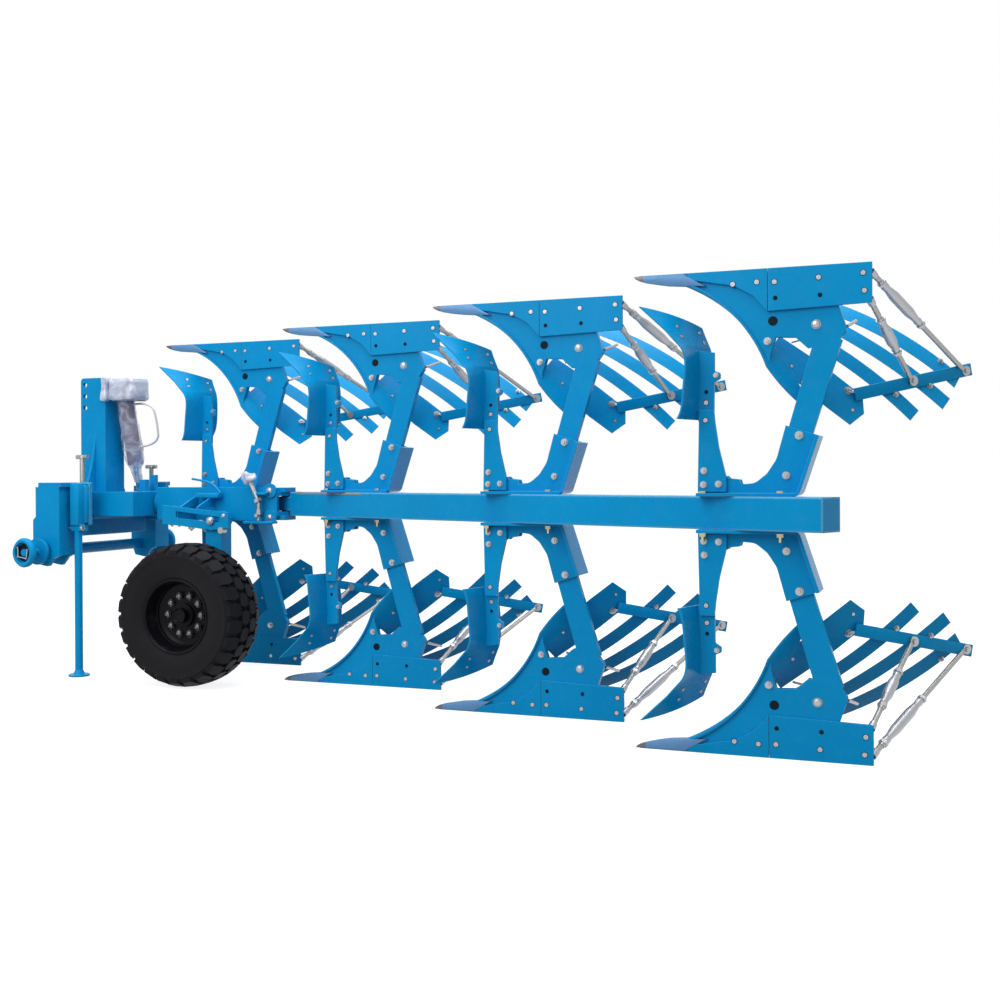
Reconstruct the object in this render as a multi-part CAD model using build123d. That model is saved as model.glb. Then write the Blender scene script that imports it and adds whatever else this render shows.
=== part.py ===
from build123d import *
import math
import os

# Four-furrow mounted reversible mouldboard plough.
# Frame while building: +X is the direction of travel, +Y is left, Z = 0 is the middle plane of the
# beam. The finished parts are moved so that the floor is at Z = 0 (see the end of the file).
# A plate outline is drawn as (x, s) or (x, s, corner radius), where s is the distance below the
# middle plane. The lower body has z = -s and the upper body is its mirror image.

# Driving sizes, mm
STATIONS = 4
STEP_X = 1000.0
STEP_Y = 427.0
UNDERBEAM = 870.0
BEAM = 120.0
BEAM_WALL = 10.0
AXIS_Y = 290.0
LINK_X = 1060.0
LINK_DROP = 235.0
PLATE = 12.0
LEG_T = 30.0
SHEET_T = 9.0
WHEEL_R = 345.0
WHEEL_W = 260.0
SHAFT_R = 50.0
RUN_CLEAR = 0.05

HALF_BEAM = BEAM / 2
FLOOR = -UNDERBEAM
BEAM_YAW = math.degrees(math.atan2(STEP_Y, -STEP_X))


def lerp(a, b, t):
    return tuple(p + (q - p) * t for p, q in zip(a, b))


def sole(points):
    """Turns (x, height above the sole) into (x, s)."""
    return [(x, UNDERBEAM - h, *radius) for x, h, *radius in points]


def side_face(points):
    """Face in the XZ plane at y = 0 from (x, s) or (x, s, radius) corners of a lower body."""
    edges = []
    ends = []
    count = len(points)
    for i, (x, s, *radius) in enumerate(points):
        corner = Vector(x, 0, -s)
        if not radius:
            ends.append((corner, corner))
            continue
        before = Vector(points[i - 1][0], 0, -points[i - 1][1])
        after = Vector(points[(i + 1) % count][0], 0, -points[(i + 1) % count][1])
        one = (before - corner).normalized()
        two = (after - corner).normalized()
        half = math.radians(one.get_angle(two)) / 2
        reach = radius[0] / math.tan(half)
        start = corner + one * reach
        end = corner + two * reach
        mid = corner + (one + two).normalized() * (radius[0] / math.sin(half) - radius[0])
        edges.append(ThreePointArc(start, mid, end).edge())
        ends.append((start, end))
    for i in range(count):
        start, end = ends[i][1], ends[(i + 1) % count][0]
        if (end - start).length > 0.001:
            edges.append(Line(start, end).edge())
    return make_face(Wire(edges))


def side_plate(points, y0, y1):
    """Plate between y0 and y1 (y0 < y1) with the (x, s) outline of a lower body."""
    face = side_face(points).moved(Location((0, y0, 0)))
    return extrude(face, amount=y1 - y0, dir=(0, 1, 0))


def plan_block(points, z0, z1):
    """Block between z0 and z1 with an (x, y) or (x, y, radius) outline."""
    turned = side_face([(x, -y, *radius) for x, y, *radius in points])
    flat = turned.rotate(Axis.X, -90).moved(Location((0, 0, z0)))
    return extrude(flat, amount=z1 - z0, dir=(0, 0, 1))


def box(x0, x1, y0, y1, z0, z1):
    return Location(((x0 + x1) / 2, (y0 + y1) / 2, (z0 + z1) / 2)) * Box(x1 - x0, y1 - y0, z1 - z0)


def bar(start, end, radius, sides=0):
    """Round bar, or a prism with the given number of sides, between two points."""
    axis = Vector(*end) - Vector(*start)
    plane = Plane(origin=start, z_dir=axis)
    sketch = plane * (RegularPolygon(radius, sides) if sides else Circle(radius))
    return extrude(sketch, amount=axis.length)


def tube_x(x0, x1, y, z, outer, inner=0):
    """Round tube or rod along X."""
    solid = bar((x0, y, z), (x1, y, z), outer)
    if inner:
        solid -= bar((x0 - 1, y, z), (x1 + 1, y, z), inner)
    return solid


def tube_y(y0, y1, x, z, outer, inner=0):
    """Round tube or rod along Y."""
    solid = bar((x, y0, z), (x, y1, z), outer)
    if inner:
        solid -= bar((x, y0 - 1, z), (x, y1 + 1, z), inner)
    return solid


def biggest(shape):
    return max(shape.solids(), key=lambda solid: solid.volume)


# Working surface of a body: upright arcs, one for each distance y to the right of the landside.
# Columns: y, top x, top height, sagitta of the arc. The foot of each arc is on the cutting edge.
TIP_X = 830.0
SHARE_RUN = 1.07
SURFACE = [
    (0, 362, 350, 89),
    (-150, 95, 570, 88),
    (-330, -135, 545, 80),
    (-570, -375, 408, 66),
]
SHARE_WIDTH = 130.0
SHARE_END = -430.0
SHIN_END = -70.0
BODY_TOP = 640.0
WING_END = -700.0
NOSE = [(TIP_X - 2, 0), (641, 0), (641, 110), (TIP_X - 2, 110)]
NOSE_T = 45.0


def arc_section(y, top_x, top_h, sagitta):
    """Closed section of the working sheet in the plane at y: two arcs and two short ends."""
    foot = (TIP_X + SHARE_RUN * y, UNDERBEAM)
    top = (top_x, UNDERBEAM - top_h)
    chord = math.dist(foot, top)
    back = (-(foot[1] - top[1]) / chord, (foot[0] - top[0]) / chord)
    mid = lerp(foot, top, 0.5)
    mid = (mid[0] + back[0] * sagitta, mid[1] + back[1] * sagitta)
    half_turn = 2 * math.atan(2 * sagitta / chord)
    front = [(x, y, -s) for x, s in (foot, mid, top)]
    rear = []
    for point, turn in ((foot, half_turn), (mid, 0), (top, -half_turn)):
        c, n = math.cos(turn), math.sin(turn)
        normal = (back[0] * c - back[1] * n, back[0] * n + back[1] * c)
        rear.append((point[0] + normal[0] * SHEET_T, y, -(point[1] + normal[1] * SHEET_T)))
    return make_face(
        Wire(
            [
                ThreePointArc(front[0], front[1], front[2]).edge(),
                Line(front[2], rear[2]).edge(),
                ThreePointArc(rear[2], rear[1], rear[0]).edge(),
                Line(rear[0], front[0]).edge(),
            ]
        )
    )


def body_block(x0, x1, y0, y1):
    """Block over the full height of a body."""
    return box(x0, x1, y0, y1, FLOOR, FLOOR + BODY_TOP)


def working_sheet():
    return loft([arc_section(*row) for row in SURFACE]) & body_block(-900, 900, -600, 0)


# Slats of the mouldboard: the first is a polygon of (x, height), the others are curved bands given by
# the front, middle and rear points of the centre line and the width
SLAT_A = [
    (368, 327),
    (331, 228),
    (217, 310),
    (148, 364),
    (48, 448),
    (42, 514),
    (88, 556),
    (177, 483),
    (247, 415),
]
SLAT_BANDS = [
    ((400, 135), (136, 290), (-127, 519), 48),
    ((480, 32), (126, 198), (-236, 474), 49),
    ((560, 8), (100, 130), (-275, 388), 52),
]


def slat_band(front, mid, rear, width):
    """Curved band through three points, wide enough across Y to cut a slat from the sheet."""
    run = (rear[0] - front[0], rear[1] - front[1])
    length = math.hypot(*run)
    side = (-run[1] / length * width / 2, run[0] / length * width / 2)
    one = [(x + side[0], 0, h + side[1] + FLOOR) for x, h in (front, mid, rear)]
    two = [(x - side[0], 0, h - side[1] + FLOOR) for x, h in (front, mid, rear)]
    face = make_face(
        Wire(
            [
                ThreePointArc(one[0], one[1], one[2]).edge(),
                Line(one[2], two[2]).edge(),
                ThreePointArc(two[2], two[1], two[0]).edge(),
                Line(two[0], one[0]).edge(),
            ]
        )
    )
    return extrude(face, amount=-WING_END, dir=(0, -1, 0))


def share_zone():
    """Block that holds the share: a strip along the cutting edge."""
    x0 = TIP_X + 60
    x1 = TIP_X - SHARE_WIDTH
    run = SHARE_RUN * SHARE_END
    points = [(x0, 0), (x1, 0), (x1 + run, SHARE_END), (x0 + run, SHARE_END)]
    return plan_block(points, FLOOR - 1, FLOOR + BODY_TOP)


def make_share(sheet):
    blade = biggest(sheet & share_zone())
    nose = side_plate(sole(NOSE), -NOSE_T, 0) - sheet
    low = min(nose.solids(), key=lambda solid: solid.center().Z)
    return blade + low


def behind_share(sheet):
    x1 = TIP_X - SHARE_WIDTH
    far = [(x1, 0), (x1 + SHARE_RUN * WING_END, WING_END), (-900, WING_END), (-900, 0)]
    return sheet & plan_block(far, FLOOR - 1, FLOOR + BODY_TOP)


def make_shin(sheet):
    return biggest(behind_share(sheet) & body_block(-100, TIP_X, SHIN_END, 0))


def make_slats(sheet):
    rest = behind_share(sheet) & body_block(-900, TIP_X, WING_END, SHIN_END)
    cutters = [side_plate(sole(SLAT_A), WING_END, 0)] + [slat_band(*row) for row in SLAT_BANDS]
    return [biggest(rest & cutter) for cutter in cutters]


# Leg, frog and landside outlines as (x, height), and the leg's top centre as (x, s)
LEG_TOP = (301, 100)
LEG_TOP_W = 83.0
LEG_FOOT = (146, 250)
LEG_FOOT_W = 93.0
FROG = [
    (639, 8),
    (330, 8),
    (300, 100),
    (127, 100),
    (84, 227, 20),
    (116, 270),
    (220, 287),
    (262, 248),
    (330, 244),
    (350, 310),
    (350, 352),
    (450, 352),
    (639, 180),
]
LANDSIDE_REAR = [(355, 0), (0, 0), (0, 140), (355, 152)]
LANDSIDE_WEDGE = [(641, 0), (641, 24), (475, 55), (408, 94), (357, 152), (357, 0)]


def make_leg(sheet):
    foot = (LEG_FOOT[0], UNDERBEAM - LEG_FOOT[1])
    run = (foot[0] - LEG_TOP[0], foot[1] - LEG_TOP[1])
    length = math.hypot(*run)
    side = (run[1] / length, -run[0] / length)
    shank = []
    for centre, width, signs in ((LEG_TOP, LEG_TOP_W, (1, -1)), (foot, LEG_FOOT_W, (-1, 1))):
        for sign in signs:
            reach = sign * width / 2
            shank.append((centre[0] + side[0] * reach, centre[1] + side[1] * reach))
    y0 = -PLATE - LEG_T
    leg = side_plate(shank, y0, -PLATE) + side_plate(sole(FROG), y0, -PLATE)
    return biggest(leg - sheet)


def make_landside(sheet):
    rear = side_plate(sole(LANDSIDE_REAR), -PLATE, 0)
    wedge = biggest(side_plate(sole(LANDSIDE_WEDGE), -PLATE, 0) - sheet)
    return [rear, wedge]


# Leg bracket: two plates that hold the leg between them, welded to a strip that is bent from the
# beam's face down the rear edge. Outlines as (x, s, radius)
BRACKET_S = HALF_BEAM + PLATE
BRACKET_FAR = -2 * PLATE - LEG_T
BRACKET_PLATE = [
    (605, BRACKET_S),
    (253.3, BRACKET_S),
    (186, 276),
    (294, 311),
    (302, 282),
    (327, 191, 80),
    (360, 141, 60),
    (402, 107, 50),
    (452, 103, 6),
    (456, 120, 6),
    (494, 124),
    (503, 133),
    (605, 133),
]
BRACKET_STRIP = [
    (605, HALF_BEAM),
    (244.6, HALF_BEAM, 28),
    (174.6, 272.2),
    (186, 276),
    (253.3, BRACKET_S, 16),
    (605, BRACKET_S),
]
STRIP_RIGHT = -94.0
STRIP_LEFT = 50.0


def make_bracket():
    near = side_plate(BRACKET_PLATE, -PLATE, 0)
    far = side_plate(BRACKET_PLATE, BRACKET_FAR, BRACKET_FAR + PLATE)
    return near + far + side_plate(BRACKET_STRIP, STRIP_RIGHT, STRIP_LEFT)


# Skimmer: arm and stem as (x, s, radius), then sections of the curved board and of its share as
# s and the near, middle and far (x, y)
ARM = [(605, 76), (600, 322), (598, 371), (546, 371), (541, 322), (528, 235), (502, 128), (502, 76)]
STEM = [
    (600, 322),
    (615, 362),
    (614, 588),
    (545, 578),
    (545, 512, 5),
    (524, 504, 8),
    (524, 484, 8),
    (546, 470, 6),
    (548, 322),
]
ARM_T = 14.0
SKIM_BOARD = [
    (336, (660, 120), (634, 40), (600, -40)),
    (410, (640, 120), (616, 20), (578, -80)),
    (500, (632, 120), (612, 20), (572, -84)),
    (560, (633, 120), (613, 20), (574, -86)),
    (602, (657, 120), (622, 25), (583, -90)),
]
SKIM_SHARE = [
    (650, (699, 122), (648, 25), (603, -92)),
    (745, (798, 136), (705, 35), (638, -98)),
]
SKIM_EDGE = ((-110, 675), (150, 743))
SKIM_T = 7.0


def skim_section(s, near, mid, far):
    front = [(x, y, -s) for x, y in (near, mid, far)]
    rear = [(x - SKIM_T, y, -s) for x, y in (near, mid, far)]
    return make_face(
        Wire(
            [
                ThreePointArc(front[0], front[1], front[2]).edge(),
                Line(front[2], rear[2]).edge(),
                ThreePointArc(rear[2], rear[1], rear[0]).edge(),
                Line(rear[0], front[0]).edge(),
            ]
        )
    )


def make_skimmer():
    board = loft([skim_section(*row) for row in SKIM_BOARD])
    share = loft([skim_section(*row) for row in SKIM_BOARD[-1:] + SKIM_SHARE], ruled=True)
    (y0, s0), (y1, s1) = SKIM_EDGE
    corners = [(900, y0, -s0), (900, y1, -s1), (900, y1, -1000), (900, y0, -1000)]
    below = extrude(make_face(Polyline(*corners, close=True)), amount=400, dir=(-1, 0, 0))
    return biggest(board + (share - below))


def make_arm(skimmer):
    arm = side_plate(ARM, 0, ARM_T)
    stem = side_plate(STEM, -ARM_T, 0)
    return arm + biggest(stem - skimmer)


# Bar across the backs of the slats and the two adjustable stays from the landside. Points are
# (x, y, height). A stay has its foot (x, height), its end, and where its barrel starts and stops
BAR_IN = (72, -190, 445)
BAR_OUT = (-322, -548, 338)
BAR_SIZE = (46.0, 10.0)
STAYS = [
    ((6, 32), (-300, -530, 346), 0.12, 0.50),
    ((10, 125), (-118, -352, 390), 0.27, 0.62),
]
STAY_R = 10.0
BARREL_R = 19.0
NUT_R = 21.0
NUT_L = 16.0


def make_stays(slats):
    start, end = (Vector(x, y, h + FLOOR) for x, y, h in (BAR_IN, BAR_OUT))
    frame = Plane(origin=start, z_dir=end - start, x_dir=(0, 0, 1))
    stays = extrude(frame * Rectangle(*BAR_SIZE), amount=(end - start).length)
    for slat in slats:
        stays -= slat
    stays = biggest(stays)
    for (x, h), rear, first, last in STAYS:
        start = Vector(x, -PLATE, h + FLOOR)
        end = Vector(rear[0], rear[1], rear[2] + FLOOR)
        span = end - start
        step = span.normalized() * NUT_L
        turn, stop = start + span * first, start + span * last
        rod = bar(tuple(start), tuple(end), STAY_R) + bar(tuple(turn), tuple(stop), BARREL_R)
        rod += bar(tuple(turn - step), tuple(turn), NUT_R, 6) + bar(tuple(stop), tuple(stop + step), NUT_R, 6)
        stays += rod - box(-300, 300, -PLATE, PLATE, FLOOR, FLOOR + 300)
    return stays


def pair(solids, station):
    """The lower solids and their mirror images, moved to a station on the beam."""
    place = Location((-station * STEP_X, station * STEP_Y, 0))
    lower = list(solids)
    upper = [solid.mirror(Plane.XY) for solid in lower]
    return Compound([solid.moved(place) for solid in lower + upper])


# Main beam, from the swivel pin to its closed end behind the last leg bracket
SWIVEL = (-50.0, 205.0)
SWIVEL_R = 30.0
BEAM_START = 105.0
BEAM_LENGTH = (STATIONS - 1) * math.hypot(STEP_X, STEP_Y) - 192.0
TONGUE_Z = 35.0


def on_beam(solid):
    """Moves a solid drawn along +X from the swivel pin onto the beam's line."""
    return Location((SWIVEL[0], SWIVEL[1], 0), (0, 0, BEAM_YAW)) * solid


def make_beam():
    outer = box(BEAM_START, BEAM_LENGTH, -HALF_BEAM, HALF_BEAM, -HALF_BEAM, HALF_BEAM)
    inner = HALF_BEAM - BEAM_WALL
    hollow = box(BEAM_START + 40, BEAM_LENGTH - BEAM_WALL, -inner, inner, -inner, inner)
    tongue = box(0, BEAM_START, -HALF_BEAM, HALF_BEAM, -TONGUE_Z, TONGUE_Z)
    tongue += Cylinder(HALF_BEAM, 2 * TONGUE_Z)
    hole = Cylinder(SWIVEL_R + RUN_CLEAR, BEAM)
    return on_beam(outer - hollow + tongue - hole)


# Front frame: the turning weldment that carries the first station, the wheel and the swivel pin
FRAME_PLAN = [
    (640, 360),
    (640, 60),
    (620, -110),
    (230, -110),
    (60, 60),
    (-80, 120),
    (-115, 205),
    (-110, 300),
    (-80, 360),
]
FRAME_T = 20.0
NEAR_Y = 360.0
NEAR_Z = 85.0
LUG_R = 36.0
LUG_X = -45.0
PAD_T = 22.0


def make_front_frame():
    z = HALF_BEAM - FRAME_T
    frame = plan_block(FRAME_PLAN, z, HALF_BEAM) + plan_block(FRAME_PLAN, -HALF_BEAM, -z)
    near = [(640, NEAR_Z), (640, -NEAR_Z), (-80, -NEAR_Z, LUG_R), (-80, NEAR_Z, LUG_R)]
    frame += side_plate(near, NEAR_Y - FRAME_T, NEAR_Y)
    frame += box(620, 640, -60, NEAR_Y - FRAME_T, -z, z)
    frame += box(235, 615, -105, -85, -z, z)
    frame += box(200, 220, -30, NEAR_Y - FRAME_T, -z, z)
    frame += Location((SWIVEL[0], SWIVEL[1], 0)) * Cylinder(SWIVEL_R, BEAM)
    for sign in (1, -1):
        z0, z1 = sorted((sign * HALF_BEAM, sign * (HALF_BEAM + PAD_T)))
        frame += box(-115, -45, 235, NEAR_Y - FRAME_T, z0, z1)
        frame += tube_y(NEAR_Y, NEAR_Y + PLATE, LUG_X, sign * (NEAR_Z - LUG_R / 2), LUG_R)
    flange = tube_x(640, 665, AXIS_Y, 0, SHAFT_R + 15)
    return frame + flange + tube_x(665, HOUSE_X1 + CRANK_GAP, AXIS_Y, 0, SHAFT_R)


# Bearing block behind the headstock beam, and the two plates that join them
HOUSE_X0 = 670.0
HOUSE_X1 = 860.0
HOUSE_H = 62.0
SIDE_Y = 210.0
SIDE_T = 20.0
LUGS = [(205, 245, 125), (130, 155, 150)]


def make_housing():
    house = box(HOUSE_X0, HOUSE_X1, AXIS_Y - SIDE_Y, AXIS_Y + SIDE_Y, -HOUSE_H, HOUSE_H)
    house -= tube_x(HOUSE_X0 - 1, HOUSE_X1 + 1, AXIS_Y, 0, SHAFT_R + RUN_CLEAR)
    house += box(HOUSE_X0, YOKE_X0, AXIS_Y + SIDE_Y, AXIS_Y + SIDE_Y + SIDE_T, -HOUSE_H, HOUSE_H)
    house += box(HOUSE_X0, YOKE_X0, AXIS_Y - SIDE_Y - SIDE_T, AXIS_Y - SIDE_Y, -HOUSE_H, HOUSE_H)
    for y0, y1, top in LUGS:
        house += box(805, 840, y0, y1, HOUSE_H, top)
    return house


# Turnover crank and cylinder, in the plane between the bearing block and the headstock beam
CYL_X = 899.0
CRANK_R = 140.0
CRANK_Y = AXIS_Y - CRANK_R
CRANK_GAP = 2.0
CYL_TOP = 600.0
EYE_T = 30.0
CYL_PIN_R = 15.0
BORE_R = 30.0
CYL_R = 40.0
CYL_END = 400.0
ROD_R = 15.0
HEAD_BLOCK = (792, 882, 38, 545, 655)


def make_crank():
    x0 = HOUSE_X1 + CRANK_GAP
    x1 = CYL_X - EYE_T / 2 - CRANK_GAP
    half = 2 * CYL_PIN_R
    arm = box(x0, x1, CRANK_Y, AXIS_Y, -half, half)
    return arm + tube_x(x0, x1, AXIS_Y, 0, SHAFT_R) + tube_x(x0, x1, CRANK_Y, 0, half)


def rod_line():
    top = Vector(CYL_X, AXIS_Y, CYL_TOP)
    low = Vector(CYL_X, CRANK_Y, 0)
    return top, (low - top).normalized(), (low - top).length


def along(t0, t1, radius):
    """Round bar on the cylinder's line, between two distances from its upper eye."""
    top, unit, length = rod_line()
    return bar(tuple(top + unit * t0), tuple(top + unit * t1), radius)


def make_barrel():
    eye = tube_x(CYL_X - EYE_T / 2, CYL_X + EYE_T / 2, AXIS_Y, CYL_TOP, CYL_R - 6)
    barrel = along(40, CYL_END, CYL_R) + along(20, 45, ROD_R + 5) + eye
    x0, x1, half, z0, z1 = HEAD_BLOCK
    barrel += box(x0, x1, AXIS_Y - half, AXIS_Y + half, z0, z1) - along(60, CYL_END, BORE_R)
    barrel -= along(60, CYL_END - 35, BORE_R)
    barrel -= along(60, CYL_END + 1, ROD_R + RUN_CLEAR)
    return barrel - tube_x(CYL_X - EYE_T, CYL_X + EYE_T, AXIS_Y, CYL_TOP, CYL_PIN_R + RUN_CLEAR)


def make_rod():
    length = rod_line()[2]
    rod = along(190, length - 20, ROD_R) + along(190, 230, BORE_R - RUN_CLEAR)
    eye = tube_x(CYL_X - EYE_T / 2, CYL_X + EYE_T / 2, CRANK_Y, 0, 2 * CYL_PIN_R)
    head = tube_x(CYL_X + EYE_T / 2, CYL_X + EYE_T / 2 + PLATE, CRANK_Y, 0, CYL_PIN_R + 1)
    return rod + eye + head


# Hose beside the barrel: distance behind the cylinder's line, and distance down it
HOSE_R = 6.0
HOSE_PATH = [(38, 75), (164, 58), (181, 175), (170, 298), (38, 306)]


def make_hose():
    top, unit, length = rod_line()
    points = [top + unit * t - Vector(back, 0, 0) for back, t in HOSE_PATH]
    radii = []
    for before, corner, after in zip(points, points[1:], points[2:]):
        one, two = corner - before, after - corner
        turn = math.radians(one.get_angle(two))
        radii.append(0.45 * min(one.length, two.length) / math.tan(turn / 2))
    path = FilletPolyline(*points, radius=radii)
    section = Plane(origin=points[0], z_dir=points[1] - points[0]) * Circle(HOSE_R)
    print("hose radii", [round(radius) for radius in radii])
    return sweep(section, path=path) - along(40, CYL_END, CYL_R)


# Headstock beam: a closed box across the plough with an end plate on each side, the adjusting
# spindles that stand on it and the tie under it
YOKE_X0 = 930.0
YOKE_X1 = 1050.0
YOKE_Z0 = -76.0
YOKE_Z1 = 57.0
YOKE_HALF = 310.0
END_X0 = 860.0
END_Z0 = -105.0
END_Z1 = 112.0
SPINDLE_X = 942.0
SPINDLE_Y = 285.0
SPINDLE_R = 12.0
SPINDLES = ((1, 243), (-1, 196))
TIE = (970, 1030, 270, -165)


def make_yoke():
    yoke = box(YOKE_X0, YOKE_X1, AXIS_Y - YOKE_HALF, AXIS_Y + YOKE_HALF, YOKE_Z0, YOKE_Z1)
    y = YOKE_HALF - PLATE
    yoke -= box(YOKE_X0 + PLATE, YOKE_X1 - PLATE, AXIS_Y - y, AXIS_Y + y, YOKE_Z0 + PLATE, YOKE_Z1 - PLATE)
    x0, x1, half, z0 = TIE
    yoke += box(x0, x1, AXIS_Y - half, AXIS_Y + half, z0, YOKE_Z0)
    for sign, top in SPINDLES:
        y0, y1 = sorted((AXIS_Y + sign * YOKE_HALF, AXIS_Y + sign * (YOKE_HALF + SIDE_T)))
        yoke += box(END_X0, YOKE_X1, y0, y1, END_Z0, END_Z1)
        y = AXIS_Y + sign * SPINDLE_Y
        yoke += bar((SPINDLE_X, y, YOKE_Z1), (SPINDLE_X, y, top), SPINDLE_R)
        yoke += bar((SPINDLE_X, y, YOKE_Z1), (SPINDLE_X, y, YOKE_Z1 + 30), 2 * SPINDLE_R, 6)
        yoke += tube_x(SPINDLE_X - 32, SPINDLE_X + 32, y, top, SPINDLE_R - 2)
    return yoke


# Tower for the top link: outline as (x, z, radius), and the fin on each side as (y, z) from the axis
TOWER = [
    (1122, YOKE_Z0),
    (1122, 669, 20),
    (964, 669, 6),
    (964, YOKE_Z1),
    (YOKE_X1, YOKE_Z1),
    (YOKE_X1, YOKE_Z0),
]
TOWER_GAP = 114.0
TOWER_T = 20.0
TOP_LINK_R = 13.0
TOP_LINK_Z = (510.0, 571.5, 633.0)
TOP_LINK_X = 1095.0
FIN = ((77, 380), (106, 215), (165, YOKE_Z1))
FIN_X = 1024.0


def make_tower():
    outline = [(x, -z, *radius) for x, z, *radius in TOWER]
    y0 = AXIS_Y - TOWER_GAP / 2 - TOWER_T
    y1 = AXIS_Y + TOWER_GAP / 2
    tower = side_plate(outline, y0, y0 + TOWER_T) + side_plate(outline, y1, y1 + TOWER_T)
    tower += box(964, 980, y0 + TOWER_T, y1, YOKE_Z1, 669)
    for z in TOP_LINK_Z:
        tower -= tube_y(y0 - 1, y1 + TOWER_T + 1, TOP_LINK_X, z, TOP_LINK_R)
    for sign in (1, -1):
        high, bend, low = (Vector(FIN_X, AXIS_Y + sign * y, z) for y, z in FIN)
        root = Vector(FIN_X, high.Y, low.Z)
        edges = [ThreePointArc(high, bend, low).edge(), Line(low, root).edge(), Line(root, high).edge()]
        tower += extrude(make_face(Wire(edges)), amount=PLATE, dir=(1, 0, 0))
    tower += tube_x(CYL_X + EYE_T / 2 + 10, 964, AXIS_Y, CYL_TOP, CYL_R - 8)
    return tower + tube_x(CYL_X - EYE_T / 2 - 4, 964, AXIS_Y, CYL_TOP, CYL_PIN_R)


# Cheeks outside the end plates: outline as (x, z, radius), and the centres of the two plates
CHEEK = [
    (950, 90),
    (1097, 90),
    (1097, -60),
    (1114, -78),
    (1114, -235),
    (1088, -300),
    (1020, -312, 15),
    (985, -270, 15),
    (950, -255),
]
CHEEK_IN = 340.0
CHEEK_OUT = 440.0
CHEEK_T = 20.0
CHEEK_X0 = 938.0
CHEEK_X1 = 1080.0
CHEEK_TOP = 112.0
LINK_R = 29.0
LINK_PIN_R = 18.3
LINK_PIN_L = 90.0
LINK_PIN_Y = 485.0
COLLAR_R = 66.0
COLLAR_T = 15.0


def make_cheeks():
    outline = [(x, -z, *radius) for x, z, *radius in CHEEK]
    solids = []
    for sign in (1, -1):
        cheek = None
        for offset in (CHEEK_IN, CHEEK_OUT):
            y = AXIS_Y + sign * offset
            plate = side_plate(outline, y - CHEEK_T / 2, y + CHEEK_T / 2)
            plate -= tube_y(y - CHEEK_T, y + CHEEK_T, LINK_X, -LINK_DROP, LINK_R)
            cheek = plate if cheek is None else cheek + plate
        y0, y1 = sorted(AXIS_Y + sign * offset for offset in (CHEEK_IN, CHEEK_OUT))
        cheek += box(950, 950 + CHEEK_T, y0, y1, -255, 90)
        top = CHEEK_T / 2
        cheek += box(CHEEK_X0, CHEEK_X1, y0 - top, y1 + top, 90, CHEEK_TOP)
        solids.append(biggest(cheek))
    return Compound(solids)


def make_link_shaft():
    shaft = tube_y(AXIS_Y - LINK_PIN_Y, AXIS_Y + LINK_PIN_Y, LINK_X, -LINK_DROP, LINK_R)
    reach = LINK_PIN_Y + LINK_PIN_L
    shaft += tube_y(AXIS_Y - reach, AXIS_Y + reach, LINK_X, -LINK_DROP, LINK_PIN_R)
    for sign in (1, -1):
        y0, y1 = sorted(AXIS_Y + sign * offset for offset in (LINK_PIN_Y - COLLAR_T, LINK_PIN_Y))
        shaft += tube_y(y0, y1, LINK_X, -LINK_DROP, COLLAR_R)
    return shaft


# Parking stand: a leg that slides in a sleeve on the left end plate
STAND_X = 900.0
STAND_Y = 657.0
STAND_R = 25.0
SLEEVE_HALF = 33.0
SLEEVE_Z = (-105.0, 108.0)
FOOT_R = 60.0


def make_stand_sleeve():
    z0, z1 = SLEEVE_Z
    y0 = AXIS_Y + YOKE_HALF + SIDE_T
    sleeve = box(STAND_X - SLEEVE_HALF, STAND_X + SLEEVE_HALF, y0, STAND_Y + SLEEVE_HALF, z0, z1)
    return sleeve - bar((STAND_X, STAND_Y, z0 - 1), (STAND_X, STAND_Y, z1 + 1), STAND_R + RUN_CLEAR)


def make_stand():
    leg = bar((STAND_X, STAND_Y, FLOOR), (STAND_X, STAND_Y, SLEEVE_Z[1] - 10), STAND_R)
    return leg + bar((STAND_X, STAND_Y, FLOOR), (STAND_X, STAND_Y, FLOOR + 10), FOOT_R)


# Wheel, its swinging arm and the bracket that holds the arm's pivot. Bracket outlines as (x, s)
WHEEL_X = 200.0
WHEEL_Y = 712.0
WHEEL_Z = FLOOR + WHEEL_R
PIVOT_Z = -80.0
PIVOT_R = 20.0
ARM_Y = 455.0
ARM_HALF = 45.0
AXLE_R = 25.0
RIM_R = 172.0
RIM_T = 10.0
HUB_R = 60.0
BRACKET_Y = 520.0
SECTOR = [(490, 4), (490, 100), (384, 108), (200, 128), (100, 116), (100, 40)]
SLOT = [(410, 34), (410, 70, 8), (290, 78), (150, 92, 8), (150, 62)]
SPACER = (405, 490, -95, -10)
GUSSET_X = (285.0, 385.0)


def make_wheel_bracket():
    low = BRACKET_Y - PLATE
    bracket = side_plate(SECTOR, low, BRACKET_Y) - side_plate(SLOT, low - 1, BRACKET_Y + 1)
    x0, x1, z0, z1 = SPACER
    bracket += box(x0, x1, NEAR_Y, low, z0, z1)
    bracket += tube_y(NEAR_Y, BRACKET_Y + PLATE, WHEEL_X, PIVOT_Z, PIVOT_R)
    for x in GUSSET_X:
        corners = [(x, NEAR_Y, 48), (x, NEAR_Y, -12), (x, low, -24), (x, low, -12)]
        bracket += extrude(make_face(Polyline(*corners, close=True)), amount=PLATE - 4, dir=(1, 0, 0))
    return bracket


def make_wheel_arm():
    y0, y1 = ARM_Y - ARM_HALF, ARM_Y + ARM_HALF
    arm = box(WHEEL_X - ARM_HALF, WHEEL_X + ARM_HALF, y0, y1, WHEEL_Z - ARM_HALF, PIVOT_Z)
    arm += tube_y(y0, y1, WHEEL_X, PIVOT_Z, ARM_HALF)
    arm -= tube_y(y0 - 1, y1 + 1, WHEEL_X, PIVOT_Z, PIVOT_R + RUN_CLEAR)
    return arm + tube_y(y1, WHEEL_Y + HUB_R, WHEEL_X, WHEEL_Z, AXLE_R)


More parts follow.
